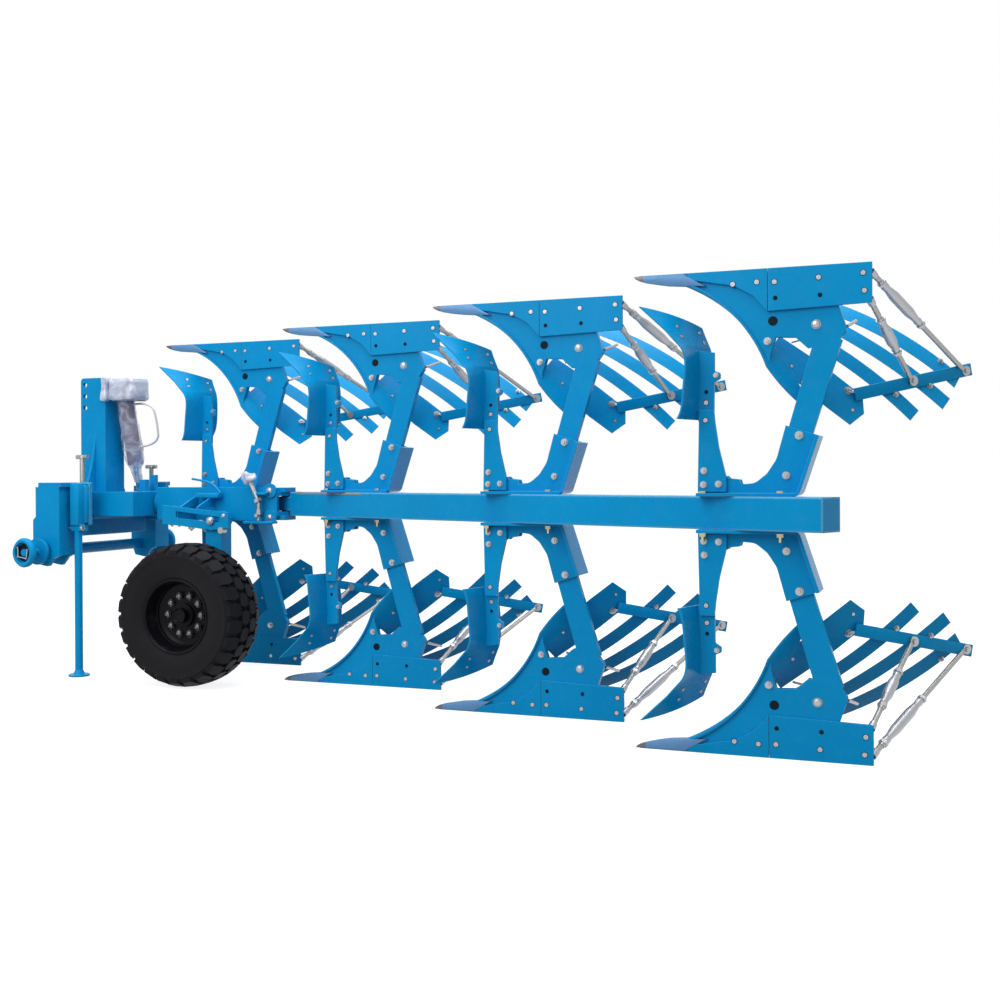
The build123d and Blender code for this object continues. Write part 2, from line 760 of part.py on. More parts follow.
def make_rim():
    half = WHEEL_W / 2 - 20
    rim = tube_y(WHEEL_Y - half, WHEEL_Y + half, WHEEL_X, WHEEL_Z, RIM_R, RIM_R - RIM_T)
    rim += tube_y(WHEEL_Y + 10, WHEEL_Y + 22, WHEEL_X, WHEEL_Z, RIM_R - RIM_T)
    rim += tube_y(WHEEL_Y - HUB_R, WHEEL_Y + HUB_R + 15, WHEEL_X, WHEEL_Z, HUB_R)
    return rim - tube_y(WHEEL_Y - HUB_R - 1, WHEEL_Y + HUB_R + 0.5, WHEEL_X, WHEEL_Z, AXLE_R + RUN_CLEAR)


# Half of the tyre's section as (radius, distance in from the side), mirrored for the other half
TYRE = [(RIM_R + 0.3, 25), (RIM_R + 20, 10), (WHEEL_R - 80, 0), (WHEEL_R - 25, 12), (WHEEL_R, 45)]


def make_tyre():
    near = [(r, WHEEL_W / 2 - inset, 0) for r, inset in TYRE]
    far = [(r, -y, 0) for r, y, z in reversed(near)]
    tyre = revolve(make_face(Polyline(*near, *far, close=True)), Axis.Y)
    return Location((WHEEL_X, WHEEL_Y, WHEEL_Z)) * tyre


def build_nodes():
    sheet = working_sheet()
    slats = make_slats(sheet)
    skimmer = make_skimmer()
    body = {
        "leg_bracket": [make_bracket()],
        "leg": [make_leg(sheet)],
        "landside": make_landside(sheet),
        "share": [make_share(sheet)],
        "shin": [make_shin(sheet)],
        "slats": slats,
        "slat_stays": [make_stays(slats)],
        "skimmer_arm": [make_arm(skimmer)],
        "skimmer": [skimmer],
    }
    nodes = {f"{name}_{i + 1}": pair(solids, i) for i in range(STATIONS) for name, solids in body.items()}
    nodes["main_beam"] = make_beam()
    nodes["front_frame"] = make_front_frame()
    nodes["crank"] = make_crank()
    nodes["cylinder_barrel"] = make_barrel()
    nodes["cylinder_rod"] = make_rod()
    nodes["cylinder_hose"] = make_hose()
    nodes["bearing_housing"] = make_housing()
    nodes["headstock_beam"] = make_yoke()
    nodes["tower"] = make_tower()
    nodes["cheeks"] = make_cheeks()
    nodes["link_shaft"] = make_link_shaft()
    nodes["stand_sleeve"] = make_stand_sleeve()
    nodes["stand"] = make_stand()
    nodes["wheel_bracket"] = make_wheel_bracket()
    nodes["wheel_arm"] = make_wheel_arm()
    nodes["wheel_rim"] = make_rim()
    nodes["tyre"] = make_tyre()
    return nodes


def to_floor(nodes):
    """The move that puts the bottom centre of everything at the origin."""
    size = Compound([solid for node in nodes.values() for solid in node.solids()]).bounding_box()
    centre = size.center()
    return Location((-centre.X, -centre.Y, -size.min.Z))


os.makedirs("parts", exist_ok=True)
NODES = build_nodes()
MOVE = to_floor(NODES)
for name, shape in NODES.items():
    export_step(shape.moved(MOVE), f"parts/{name}.step")
print(len(NODES), "nodes moved by", tuple(MOVE.position))
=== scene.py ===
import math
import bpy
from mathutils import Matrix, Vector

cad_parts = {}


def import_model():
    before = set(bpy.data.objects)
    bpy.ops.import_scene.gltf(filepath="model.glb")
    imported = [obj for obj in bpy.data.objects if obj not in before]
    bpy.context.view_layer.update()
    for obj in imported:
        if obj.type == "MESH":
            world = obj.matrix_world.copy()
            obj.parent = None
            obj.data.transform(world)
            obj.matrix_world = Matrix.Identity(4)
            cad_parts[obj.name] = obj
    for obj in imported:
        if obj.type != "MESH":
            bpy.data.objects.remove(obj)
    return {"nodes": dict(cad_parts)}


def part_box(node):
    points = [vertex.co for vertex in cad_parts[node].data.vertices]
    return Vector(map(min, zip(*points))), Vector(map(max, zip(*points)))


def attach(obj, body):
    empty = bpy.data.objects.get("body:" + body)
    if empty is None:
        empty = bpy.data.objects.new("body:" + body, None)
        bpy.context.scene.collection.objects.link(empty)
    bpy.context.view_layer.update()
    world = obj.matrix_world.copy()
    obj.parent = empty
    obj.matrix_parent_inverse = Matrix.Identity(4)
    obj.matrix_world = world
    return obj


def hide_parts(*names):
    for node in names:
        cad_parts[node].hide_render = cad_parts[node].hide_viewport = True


bl_info = {
    "name": "Reversible Plough",
    "version": (1, 0, 0),
    "blender": (4, 5, 0),
    "location": "3D View > Sidebar > Plough",
    "description": "Dresses a mounted reversible mouldboard plough with paint, bolts, tyre and film",
    "category": "Object",
}

import bmesh
import bpy
from bpy.props import FloatProperty, FloatVectorProperty, IntProperty, PointerProperty
from mathutils import Matrix, Vector, noise

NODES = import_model()["nodes"]
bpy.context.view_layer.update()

# The plough's own axes, in metres: x forward from the heel of the first landside, y to the left of its
# face, z up from the middle of the beam
MM = 0.001
STEP_X = 1.000
STEP_Y = 0.427
STATIONS = 4
SIDES = (1, -1)
HEEL_LOW, HEEL_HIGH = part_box("landside_1")
ORIGIN = Vector((HEEL_LOW.x, HEEL_HIGH.y, (HEEL_LOW.z + HEEL_HIGH.z) / 2))


def at(x, y, z):
    """A point of the plough's own axes, given in metres, in the frame's axes."""
    return ORIGIN + Vector((x, y, z))


def on_body(station, x, y, s, side):
    """A point of a body, in millimetres: s is the distance from the beam, side is 1 below it, -1 above."""
    return at(x * MM - station * STEP_X, y * MM + station * STEP_Y, -side * s * MM)


def carrier(station):
    return "beam" if station else "turning_frame"


# ---------------------------------------------------------------- settings


class PloughPaint(bpy.types.PropertyGroup):
    """Colours of the plough"""

    blue: FloatVectorProperty(
        name="Blue",
        description="Colour of the main paint",
        subtype="COLOR",
        size=3,
        min=0,
        max=1,
        default=(0.001, 0.270, 0.580),
    )
    tyre: FloatVectorProperty(
        name="Rubber",
        description="Colour of the tyre",
        subtype="COLOR",
        size=3,
        min=0,
        max=1,
        default=(0.006, 0.006, 0.008),
    )


class PloughSizes(bpy.types.PropertyGroup):
    """Sizes of the dressed pieces"""

    edge: FloatProperty(
        name="Edge radius",
        description="Radius of the rounded edges of painted plates",
        unit="LENGTH",
        default=0.0035,
    )
    lugs: IntProperty(
        name="Tread blocks",
        description="Blocks in one row of the tyre's tread",
        min=12,
        max=40,
        default=26,
    )
    tread: FloatProperty(
        name="Tread depth",
        description="Depth of the gaps between the tread blocks",
        unit="LENGTH",
        default=0.014,
    )
    wrinkle: FloatProperty(
        name="Film wrinkles",
        description="How far the packing film stands off in folds",
        unit="LENGTH",
        default=0.007,
    )


# ---------------------------------------------------------------- shader tools


def new_group(name, inputs, outputs):
    group = bpy.data.node_groups.new(name, "ShaderNodeTree")
    for label, kind, value in inputs:
        socket = group.interface.new_socket(label, in_out="INPUT", socket_type=kind)
        if value is not None:
            socket.default_value = value
    for label, kind in outputs:
        group.interface.new_socket(label, in_out="OUTPUT", socket_type=kind)
    return group, group.nodes.new("NodeGroupInput"), group.nodes.new("NodeGroupOutput")


def add(tree, kind, values=None, **settings):
    node = tree.nodes.new(kind)
    for key, value in settings.items():
        setattr(node, key, value)
    for key, value in (values or {}).items():
        node.inputs[key].default_value = value
    return node


def on_object(tree, kind, values, **settings):
    """A texture that lies on the piece's own Object coordinates."""
    place = add(tree, "ShaderNodeTexCoord")
    texture = add(tree, kind, values, **settings)
    tree.links.new(place.outputs["Object"], texture.inputs["Vector"])
    return texture


def mix_colour(tree, factor, a, b):
    node = add(tree, "ShaderNodeMix", data_type="RGBA")
    for socket, value in ((node.inputs[0], factor), (node.inputs[6], a), (node.inputs[7], b)):
        if hasattr(value, "is_output"):
            tree.links.new(value, socket)
        else:
            socket.default_value = value
    return node.outputs[2]


def edge_group():
    """Rounded plate edges: a bevelled normal, and a mask that is 1 on an edge, where the paint gets its
    painted highlight.
    """
    group, start, end = new_group(
        "edge_round_highlight",
        [("Radius", "NodeSocketFloat", 0.003)],
        [("Normal", "NodeSocketVector"), ("Mask", "NodeSocketFloat")],
    )
    bevel = add(group, "ShaderNodeBevel", samples=6)
    flat = add(group, "ShaderNodeNewGeometry")
    dot = add(group, "ShaderNodeVectorMath", operation="DOT_PRODUCT")
    ramp = add(group, "ShaderNodeMapRange", {1: 0.995, 2: 0.86, 3: 0.0, 4: 1.0})
    links = group.links
    links.new(start.outputs["Radius"], bevel.inputs["Radius"])
    links.new(bevel.outputs[0], dot.inputs[0])
    links.new(flat.outputs["Normal"], dot.inputs[1])
    links.new(dot.outputs["Value"], ramp.inputs[0])
    links.new(bevel.outputs[0], end.inputs["Normal"])
    links.new(ramp.outputs[0], end.inputs["Mask"])
    return group


def mottle_group():
    """Uneven spray, dust and an orange-peel height, all on Object coordinates."""
    group, start, end = new_group(
        "spray_mottle",
        [("Scale", "NodeSocketFloat", 3.0)],
        [("Tone", "NodeSocketFloat"), ("Dust", "NodeSocketFloat"), ("Peel", "NodeSocketFloat")],
    )
    broad = on_object(group, "ShaderNodeTexNoise", {"Detail": 4.0, "Roughness": 0.6})
    fine = on_object(group, "ShaderNodeTexNoise", {"Scale": 420.0, "Detail": 1.0})
    dust = on_object(group, "ShaderNodeTexNoise", {"Scale": 17.0, "Detail": 8.0, "Roughness": 0.75})
    cut = add(group, "ShaderNodeMapRange", {1: 0.52, 2: 0.78, 3: 0.0, 4: 1.0})
    links = group.links
    links.new(start.outputs["Scale"], broad.inputs["Scale"])
    links.new(dust.outputs[0], cut.inputs[0])
    links.new(broad.outputs[0], end.inputs["Tone"])
    links.new(cut.outputs[0], end.inputs["Dust"])
    links.new(fine.outputs[0], end.inputs["Peel"])
    return group


def new_material(name):
    material = bpy.data.materials.new(name)
    material.use_nodes = True
    tree = material.node_tree
    return material, tree, tree.nodes["Principled BSDF"]


def scaled(colour, factor):
    return tuple(min(1.0, c * factor) for c in colour[:3]) + (1.0,)


def paint_material(name, colour, pale, roughness=0.32, highlight_strength=0.5, radius=0.003):
    """Glossy sprayed paint with softly rounded edges, which are painted in the pale colour as a painted
    highlight.
    """
    material, tree, shader = new_material(name)
    edge = add(tree, "ShaderNodeGroup", node_tree=bpy.data.node_groups["edge_round_highlight"])
    edge.inputs["Radius"].default_value = radius
    spray = add(tree, "ShaderNodeGroup", node_tree=bpy.data.node_groups["spray_mottle"])
    spray.inputs["Scale"].default_value = 3.0
    base = mix_colour(tree, spray.outputs["Tone"], scaled(colour, 0.86), scaled(colour, 1.13))
    # The edge mask mixes the colour towards the pale colour: a painted highlight on every edge.
    highlight_mix = add(tree, "ShaderNodeMath", {1: highlight_strength}, operation="MULTIPLY")
    tree.links.new(edge.outputs["Mask"], highlight_mix.inputs[0])
    highlighted = mix_colour(tree, highlight_mix.outputs[0], base, scaled(pale, 1.0))
    dusty = add(tree, "ShaderNodeMath", {1: 0.03}, operation="MULTIPLY")
    tree.links.new(spray.outputs["Dust"], dusty.inputs[0])
    final = mix_colour(tree, dusty.outputs[0], highlighted, (0.36, 0.40, 0.42, 1))
    rough = add(tree, "ShaderNodeMapRange", {1: 0.0, 2: 1.0, 3: roughness - 0.05, 4: roughness + 0.10})
    tree.links.new(spray.outputs["Dust"], rough.inputs[0])
    bump = add(tree, "ShaderNodeBump", {"Strength": 0.05, "Distance": 0.001})
    tree.links.new(spray.outputs["Peel"], bump.inputs["Height"])
    tree.links.new(edge.outputs["Normal"], bump.inputs["Normal"])
    tree.links.new(final, shader.inputs["Base Color"])
    tree.links.new(rough.outputs[0], shader.inputs["Roughness"])
    tree.links.new(bump.outputs[0], shader.inputs["Normal"])
    shader.inputs["Specular IOR Level"].default_value = 0.08
    return material


def metal_material(name, colour, roughness=0.35, metallic=1.0, grain=240.0):
    """Metal with a fine uneven sheen."""
    material, tree, shader = new_material(name)
    cloud = on_object(tree, "ShaderNodeTexNoise", {"Scale": grain, "Detail": 3.0})
    tone = mix_colour(tree, cloud.outputs[0], scaled(colour, 0.8), scaled(colour, 1.12))
    rough = add(tree, "ShaderNodeMapRange", {1: 0.3, 2: 0.7, 3: roughness - 0.08, 4: roughness + 0.1})
    tree.links.new(cloud.outputs[0], rough.inputs[0])
    tree.links.new(tone, shader.inputs["Base Color"])
    tree.links.new(rough.outputs[0], shader.inputs["Roughness"])
    shader.inputs["Metallic"].default_value = metallic
    return material


def rubber_material(name, colour):
    """Dull rubber with a fine grain."""
    material, tree, shader = new_material(name)
    cloud = on_object(tree, "ShaderNodeTexNoise", {"Scale": 9.0, "Detail": 6.0, "Roughness": 0.7})
    fine = on_object(tree, "ShaderNodeTexNoise", {"Scale": 600.0, "Detail": 2.0})
    tone = mix_colour(tree, cloud.outputs[0], scaled(colour, 0.7), scaled(colour, 1.5))
    rough = add(tree, "ShaderNodeMapRange", {1: 0.3, 2: 0.7, 3: 0.5, 4: 0.72})
    tree.links.new(cloud.outputs[0], rough.inputs[0])
    bump = add(tree, "ShaderNodeBump", {"Strength": 0.25, "Distance": 0.0006})
    tree.links.new(fine.outputs[0], bump.inputs["Height"])
    tree.links.new(tone, shader.inputs["Base Color"])
    tree.links.new(rough.outputs[0], shader.inputs["Roughness"])
    tree.links.new(bump.outputs[0], shader.inputs["Normal"])
    shader.inputs["Specular IOR Level"].default_value = 0.12
    return material


def thread_material(name, colour):
    """Zinc-plated thread: fine rings along the piece's height."""
    material = metal_material(name, colour, roughness=0.4)
    tree = material.node_tree
    shader = tree.nodes["Principled BSDF"]
    rings = on_object(tree, "ShaderNodeTexWave", {"Scale": 95.0, "Distortion": 0.0}, bands_direction="Z")
    bump = add(tree, "ShaderNodeBump", {"Strength": 0.5, "Distance": 0.001})
    tree.links.new(rings.outputs["Color"], bump.inputs["Height"])
    tree.links.new(bump.outputs[0], shader.inputs["Normal"])
    return material


def film_material(name, thin, thick, tint):
    """Clear packing film: milky where it folds, with bright creases."""
    material, tree, shader = new_material(name)
    folds = on_object(tree, "ShaderNodeTexNoise", {"Scale": 11.0, "Detail": 2.0, "Distortion": 1.6})
    crease = on_object(tree, "ShaderNodeTexVoronoi", {"Scale": 24.0}, feature="DISTANCE_TO_EDGE")
    see = add(tree, "ShaderNodeMapRange", {1: 0.36, 2: 0.64, 3: thin, 4: thick})
    bump = add(tree, "ShaderNodeBump", {"Strength": 0.35, "Distance": 0.004})
    tree.links.new(folds.outputs[0], see.inputs[0])
    tree.links.new(see.outputs[0], shader.inputs["Alpha"])
    height = add(tree, "ShaderNodeMath", operation="ADD")
    tree.links.new(folds.outputs[0], height.inputs[0])
    tree.links.new(crease.outputs[0], height.inputs[1])
    tree.links.new(height.outputs[0], bump.inputs["Height"])
    tree.links.new(bump.outputs[0], shader.inputs["Normal"])
    tone = mix_colour(tree, folds.outputs[0], scaled(tint, 0.82), scaled(tint, 1.1))
    tree.links.new(tone, shader.inputs["Base Color"])
    shader.inputs["Roughness"].default_value = 0.22
    shader.inputs["Coat Weight"].default_value = 0.6
    return material


def hose_material(name, colour):
    """Pale plastic hose, a little dirty."""
    material, tree, shader = new_material(name)
    cloud = on_object(tree, "ShaderNodeTexNoise", {"Scale": 14.0, "Detail": 5.0})
    tone = mix_colour(tree, cloud.outputs[0], scaled(colour, 0.82), scaled(colour, 1.15))
    tree.links.new(tone, shader.inputs["Base Color"])
    shader.inputs["Roughness"].default_value = 0.35
    return material


def put_material(obj, material):
    obj.data.materials.clear()
    obj.data.materials.append(material)


# ---------------------------------------------------------------- mesh tools


def turned(axis):
    return Vector(axis).to_track_quat("Z", "Y").to_matrix().to_4x4()


def cone(bm, place, axis, radius, top, depth, segments=16, lift=0.0):
    """Closed round or many-sided stub that stands on a place along an axis."""
    made = bmesh.ops.create_cone(
        bm, cap_ends=True, cap_tris=False, segments=segments, radius1=radius, radius2=top, depth=depth
    )
    matrix = Matrix.Translation(place) @ turned(axis) @ Matrix.Translation((0, 0, depth / 2 + lift))
    bmesh.ops.transform(bm, matrix=matrix, verts=made["verts"])
    return made["verts"]


def rod(bm, start, end, radius, segments=16):
    span = Vector(end) - Vector(start)
    return cone(bm, start, span, radius, radius, span.length, segments)


def block(bm, centre, size, turn=None, bevel=0.0):
    """A box with rounded edges, given its middle, its size and, where it is not square on, its turn."""
    made = bmesh.ops.create_cube(bm, size=1.0)
    verts = made["verts"]
    bmesh.ops.scale(bm, vec=size, verts=verts)
    if bevel:
        edges = list({edge for vert in verts for edge in vert.link_edges})
        cut = bmesh.ops.bevel(
            bm, geom=edges, offset=bevel, segments=2, profile=0.5, affect="EDGES", material=-1
        )
        verts = cut["verts"]
    matrix = Matrix.Translation(centre) @ (turn or Matrix.Identity(4))
    bmesh.ops.transform(bm, matrix=matrix, verts=verts)
    return verts


def spin_outline(bm, outline, steps):
    """Turns a closed outline of (radius, height) in millimetres round the Y axis."""
    verts = [bm.verts.new((r * MM, y * MM, 0)) for r, y in outline]
    edges = [bm.edges.new(pair) for pair in zip(verts, verts[1:] + verts[:1])]
    bmesh.ops.spin(
        bm,
        geom=[*verts, *edges],
        cent=(0, 0, 0),
        axis=(0, 1, 0),
        dvec=(0, 0, 0),
        angle=math.tau,
        steps=steps,
        use_merge=True,
        use_duplicate=False,
    )


def round_curve(name, places, radius, rings, steps):
    """A round bar along a smooth line that has the places as its control points."""
    curve = bpy.data.curves.new(name, "CURVE")
    curve.dimensions = "3D"
    curve.bevel_depth = radius
    curve.bevel_resolution = rings
    curve.resolution_u = steps
    curve.use_fill_caps = True
    spline = curve.splines.new("NURBS")
    spline.points.add(len(places) - 1)
    for point, place in zip(spline.points, places):
        point.co = (*place, 1.0)
    spline.order_u = 3
    spline.use_endpoint_u = True
    return curve


def finish_piece(name, bm, finishes, body, angle=35.0):
    """Turns a mesh into a piece with smooth faces and sharp corners, and lets it ride on a body."""
    bmesh.ops.recalc_face_normals(bm, faces=bm.faces)
    mesh = bpy.data.meshes.new(name)
    bm.to_mesh(mesh)
    bm.free()
    mesh.shade_smooth()
    mesh.set_sharp_from_angle(angle=math.radians(angle))
    for finish in finishes:
        mesh.materials.append(bpy.data.materials[finish])
    obj = bpy.data.objects.new(name, mesh)
    bpy.context.scene.collection.objects.link(obj)
    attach(obj, body)
    return obj


def seat(node, start, way):
    """The first point of a carried-over part on a line, and the surface's direction there."""
    hit, place, normal, face = NODES[node].ray_cast(start, Vector(way))
    if not hit:
        raise RuntimeError(f"nothing of {node} lies on the line from {tuple(start)}")
    return place, normal


def bolt(bm, place, normal, kind, size):
    """One fastener: a flush plough bolt, a round head, a nut with its stud, or a dark disc that paints the
    shade inside a hole.
    """
    if kind == "flush":
        cone(bm, place, normal, size, size * 0.9, 0.0015, 14)
        cone(bm, place, normal, size * 0.62, size * 0.5, 0.0010, 4, lift=0.0015)
    elif kind == "dome":
        cone(bm, place, normal, size * 1.15, size * 1.1, 0.002, 18)
        cone(bm, place, normal, size, size * 0.82, size * 0.3, 16, lift=0.002)
        cone(bm, place, normal, size * 0.82, size * 0.3, size * 0.2, 16, lift=0.002 + size * 0.3)
    elif kind == "nut":
        cone(bm, place, normal, size * 1.3, size * 1.25, 0.0025, 16)
        cone(bm, place, normal, size, size, size * 0.75, 6, lift=0.0025)
        cone(bm, place, normal, size * 0.52, size * 0.42, size * 0.5, 10, lift=0.0025 + size * 0.75)
    # Otherwise a dark disc: painted shade inside a hole.
    else:
        cone(bm, place, normal, size, size, 0.0012, 14)


# ---------------------------------------------------------------- operators


class PLOUGH_OT_finishes(bpy.types.Operator):
    """Makes the finishes and gives every carried-over part its own"""

    bl_idname = "plough.finishes"
    bl_label = "Finishes"

    def execute(self, context):
        paint = context.scene.plough_paint
        edge = context.scene.plough_sizes.edge
        blue = tuple(paint.blue)
        edge_group()
        mottle_group()
        # The pale colour is the lighter edge colour of the paints: a painted highlight.
        pale = (0.09, 0.44, 0.70)
        paint_material("blue_paint", blue, pale, radius=edge)
        # The beam's wide rounded edges are painted pale at full strength: a painted highlight for the bright
        # line along its top.
        paint_material("beam_paint", blue, (0.20, 0.54, 0.76), highlight_strength=1.0, radius=0.014)
        paint_material("share_paint", scaled(blue, 0.76), pale, roughness=0.40, highlight_strength=0.7)
        metal_material("zinc_plate", (0.40, 0.41, 0.43), roughness=0.36)
        metal_material("bare_steel", (0.13, 0.13, 0.15), roughness=0.42)
        metal_material("worn_point", (0.09, 0.23, 0.44), roughness=0.45, metallic=0.3, grain=60.0)
        metal_material("rust_line", (0.42, 0.26, 0.12), roughness=0.6, metallic=0.0)
        metal_material("yellow_zinc", (0.55, 0.47, 0.30), roughness=0.38)
        metal_material("chrome_rod", (0.80, 0.80, 0.80), roughness=0.12, grain=40.0)
        metal_material("dark_nut", (0.13, 0.13, 0.14), roughness=0.34)
        thread_material("threaded_zinc", (0.36, 0.36, 0.35))
        # Each paint here has its pale second colour as a painted edge highlight. The near-black first one is
        # painted shade, for holes, ring recesses and rings round flush heads.
        paint_material("shade_black", (0.004, 0.012, 0.02), (0.006, 0.016, 0.026), roughness=0.6)
        paint_material("primer_grey", (0.25, 0.17, 0.22), (0.32, 0.22, 0.28), roughness=0.5)
        paint_material("black_rim", (0.005, 0.005, 0.007), (0.030, 0.030, 0.034), roughness=0.36)
        rubber_material("tyre_rubber", tuple(paint.tyre))
        film_material("packing_film", 0.62, 0.95, (0.66, 0.71, 0.86))
        film_material("thin_film", 0.22, 0.72, (0.60, 0.62, 0.74))
        finishes = {
            "tyre": "tyre_rubber",
            "wheel_rim": "black_rim",
            "cylinder_rod": "chrome_rod",
            "cylinder_barrel": "primer_grey",
            "main_beam": "beam_paint",
            "headstock_beam": "beam_paint",
        }
        for name, obj in NODES.items():
            finish = finishes.get(name, "blue_paint")
            if name.startswith("share"):
                finish = "share_paint"
            put_material(obj, bpy.data.materials[finish])
        return {"FINISHED"}


# Fasteners of a body as (part, x, distance from the beam, kind, radius), all in millimetres and seen
# from the landside
BODY_BOLTS = (
    ("landside", 479, 820, "flush", 9.5),
    ("landside", 394, 823, "flush", 9.5),
    ("landside", 332, 820, "flush", 9.5),
    ("landside", 180, 827, "flush", 9.5),
    ("landside", 30, 834, "flush", 9.5),
    ("landside", 26, 772, "flush", 9.5),
    ("leg", 189, 664, "dome", 15),
    ("leg", 358, 612, "nut", 11),
    ("leg_bracket", 248, 275, "nut", 12),
    ("leg_bracket", 293, 134, "nut", 11),
    ("skimmer_arm", 582, 152, "nut", 10),
    ("skimmer_arm", 584, 102, "nut", 10),
    ("skimmer_arm", 530, 104, "nut", 10),
    ("skimmer_arm", 576, 334, "flush", 9),
    ("skimmer_arm", 576, 398, "flush", 9),
    ("skimmer_arm", 540, 496, "nut", 8),
    ("skimmer", 668, 672, "flush", 8),
    ("skimmer", 650, 634, "flush", 8),
    ("skimmer", 611, 658, "flush", 8),
    ("skimmer", 594, 621, "flush", 8),
    ("slats", 282, 526, "flush", 7),
    ("slats", 245, 467, "flush", 7),
    ("slats", 80, 368, "flush", 7),
    ("slats", 98, 439, "nut", 12),
    ("slats", -61, 428, "nut", 9),
    ("slats", -178, 463, "nut", 9),
    ("slats", -214, 560, "nut", 9),
)
# Dark discs painted as the shade inside open holes: part, x, distance from the beam, radius, in millimetres
BODY_HOLES = (
    ("landside", 329, 763, 8),
    ("landside", 175, 765, 8),
    ("leg", 339, 683, 17),
    ("skimmer_arm", 575, 437, 7),
)
# Nuts under the lower flange and bolt heads on the upper one, as x, y and radius
FLANGE_BOLTS = ((584, 32, 13), (310, 32, 13), (560, -76, 13), (310, -76, 13))
FLANGE_FACE = 72
# Short studs of the slats, as start and end (x, y, distance from the beam), and radius
STUDS = (
    ((88, -44, 656), (66, -165, 688), 6),
    ((98, -196, 439), (56, -206, 434), 6),
    ((292, -150, 620), (256, -152, 628), 5),
)


class PLOUGH_OT_bolts(bpy.types.Operator):
    """Sets the bolts and nuts of the eight bodies, with dark discs as painted shade in their holes and round
    the flush heads
    """

    bl_idname = "plough.bolts"
    bl_label = "Body bolts"

    def execute(self, context):
        away = (0, -1, 0)
        for station in range(STATIONS):
            bright, dark, yellow = bmesh.new(), bmesh.new(), bmesh.new()
            for side in SIDES:
                for part, x, s, kind, size in BODY_BOLTS:
                    place, normal = seat(f"{part}_{station + 1}", on_body(station, x, 400, s, side), away)
                    bolt(bright, place, normal, kind, size * MM)
                    # A dark ring round each flush head: a painted shadow.
                    if kind == "flush":
                        cone(dark, place, normal, size * MM * 1.16, size * MM * 1.16, 0.0006, 14)
                for part, x, s, size in BODY_HOLES:
                    place, normal = seat(f"{part}_{station + 1}", on_body(station, x, 400, s, side), away)
                    bolt(dark, place, normal, "hole", size * MM)
                for x, y, size in FLANGE_BOLTS:
                    place = on_body(station, x, y, FLANGE_FACE, side)
                    out = (0, 0, -side)
                    if side > 0:
                        bolt(yellow, place, out, "nut", size * MM)
                        cone(yellow, place, out, 0.007, 0.006, 0.030, 10)
                    else:
                        cone(yellow, place, out, size * MM, size * MM * 0.95, 0.007, 6)
                for start, end, size in STUDS:
                    ends = [on_body(station, *point, side) for point in (start, end)]
                    rod(bright, *ends, size * MM, 10)
            body = carrier(station)
            finish_piece(f"body_bolts_{station + 1}", bright, ["zinc_plate"], body)
            # The holes' dark discs and the rings round flush heads: painted shade.
            finish_piece(f"body_shade_discs_{station + 1}", dark, ["shade_black"], body)
            finish_piece(f"flange_bolts_{station + 1}", yellow, ["yellow_zinc"], body)
        return {"FINISHED"}


# The two stays of a body: foot (x, height over the sole), far end (x, y, height), and the stretch
# of its length that the turnbuckle takes. The bar that they hold runs from one point to another
SOLE = 870
STAYS = (((6, 32), (-300, -530, 346), 0.12, 0.50), ((10, 125), (-118, -352, 390), 0.27, 0.62))
BAR_ENDS = ((72, -190, 445), (-322, -548, 338))
BAR_SECTION = (0.046, 0.010)
# Turnbuckle outline: share of its length and radius in millimetres
BUCKLE = ((0.0, 13), (0.05, 15), (0.12, 13), (0.30, 19), (0.70, 19), (0.88, 13), (0.95, 15), (1.0, 13))


class PLOUGH_OT_stays(bpy.types.Operator):
    """Makes the slat bars and the zinc-plated turnbuckles that tie them to the landsides"""

    bl_idname = "plough.stays"
    bl_label = "Turnbuckles"

    def execute(self, context):
        for station in range(STATIONS):
            buckles, threads, bars = bmesh.new(), bmesh.new(), bmesh.new()
            for side in SIDES:
                ends = [on_body(station, x, y, SOLE - h, side) for x, y, h in BAR_ENDS]
                turn, length = self.bar_turn(*ends)
                size = (*BAR_SECTION, length)
                block(bars, (ends[0] + ends[1]) / 2, size, turn, bevel=0.0015)
                for (x, h), rear, first, last in STAYS:
                    foot = on_body(station, x, -10, SOLE - h, side)
                    end = on_body(station, rear[0], rear[1], SOLE - rear[2], side)
                    self.stay(buckles, threads, foot, end, first, last)
                    self.eye(buckles, end, turn.col[1].to_3d())
            body = carrier(station)
            bar = finish_piece(f"slat_bars_{station + 1}", bars, ["blue_paint"], body)
            zinc = finish_piece(f"turnbuckles_{station + 1}", buckles, ["zinc_plate"], body)
            thread = finish_piece(f"stay_threads_{station + 1}", threads, ["threaded_zinc"], body)
            for piece in (bar, zinc, thread):
                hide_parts(f"slat_stays_{station + 1}")
        return {"FINISHED"}

    def bar_turn(self, start, end):
        run = (end - start).normalized()
        tall = (Vector((0, 0, 1)) - run * run.z).normalized()
        across = run.cross(tall)
        return Matrix((tall, across, run)).transposed().to_4x4(), (end - start).length

    def stay(self, buckles, threads, foot, end, first, last):
        span = end - foot
        unit = span.normalized()
        start, stop = foot + span * first, foot + span * last
        rod(threads, foot, start, 0.0100)
        rod(threads, stop, end, 0.0095)
        cone(buckles, foot, unit, 0.015, 0.013, 0.030, 12)
        reach = stop - start
        for (low, r0), (high, r1) in zip(BUCKLE, BUCKLE[1:]):
            depth = reach.length * (high - low)
            cone(buckles, start + reach * low, unit, r0 * MM, r1 * MM, depth, 20)
        for place, way in ((start, -1), (stop, 1)):
            cone(buckles, place, unit * way, 0.0170, 0.0170, 0.013, 6)
            cone(buckles, place, unit * way, 0.0135, 0.0120, 0.009, 16, lift=0.013)

    def eye(self, bm, end, flat):
        cone(bm, end - flat * 0.011, flat, 0.019, 0.019, 0.022, 18)
        cone(bm, end - flat * 0.018, flat, 0.009, 0.009, 0.036, 10)


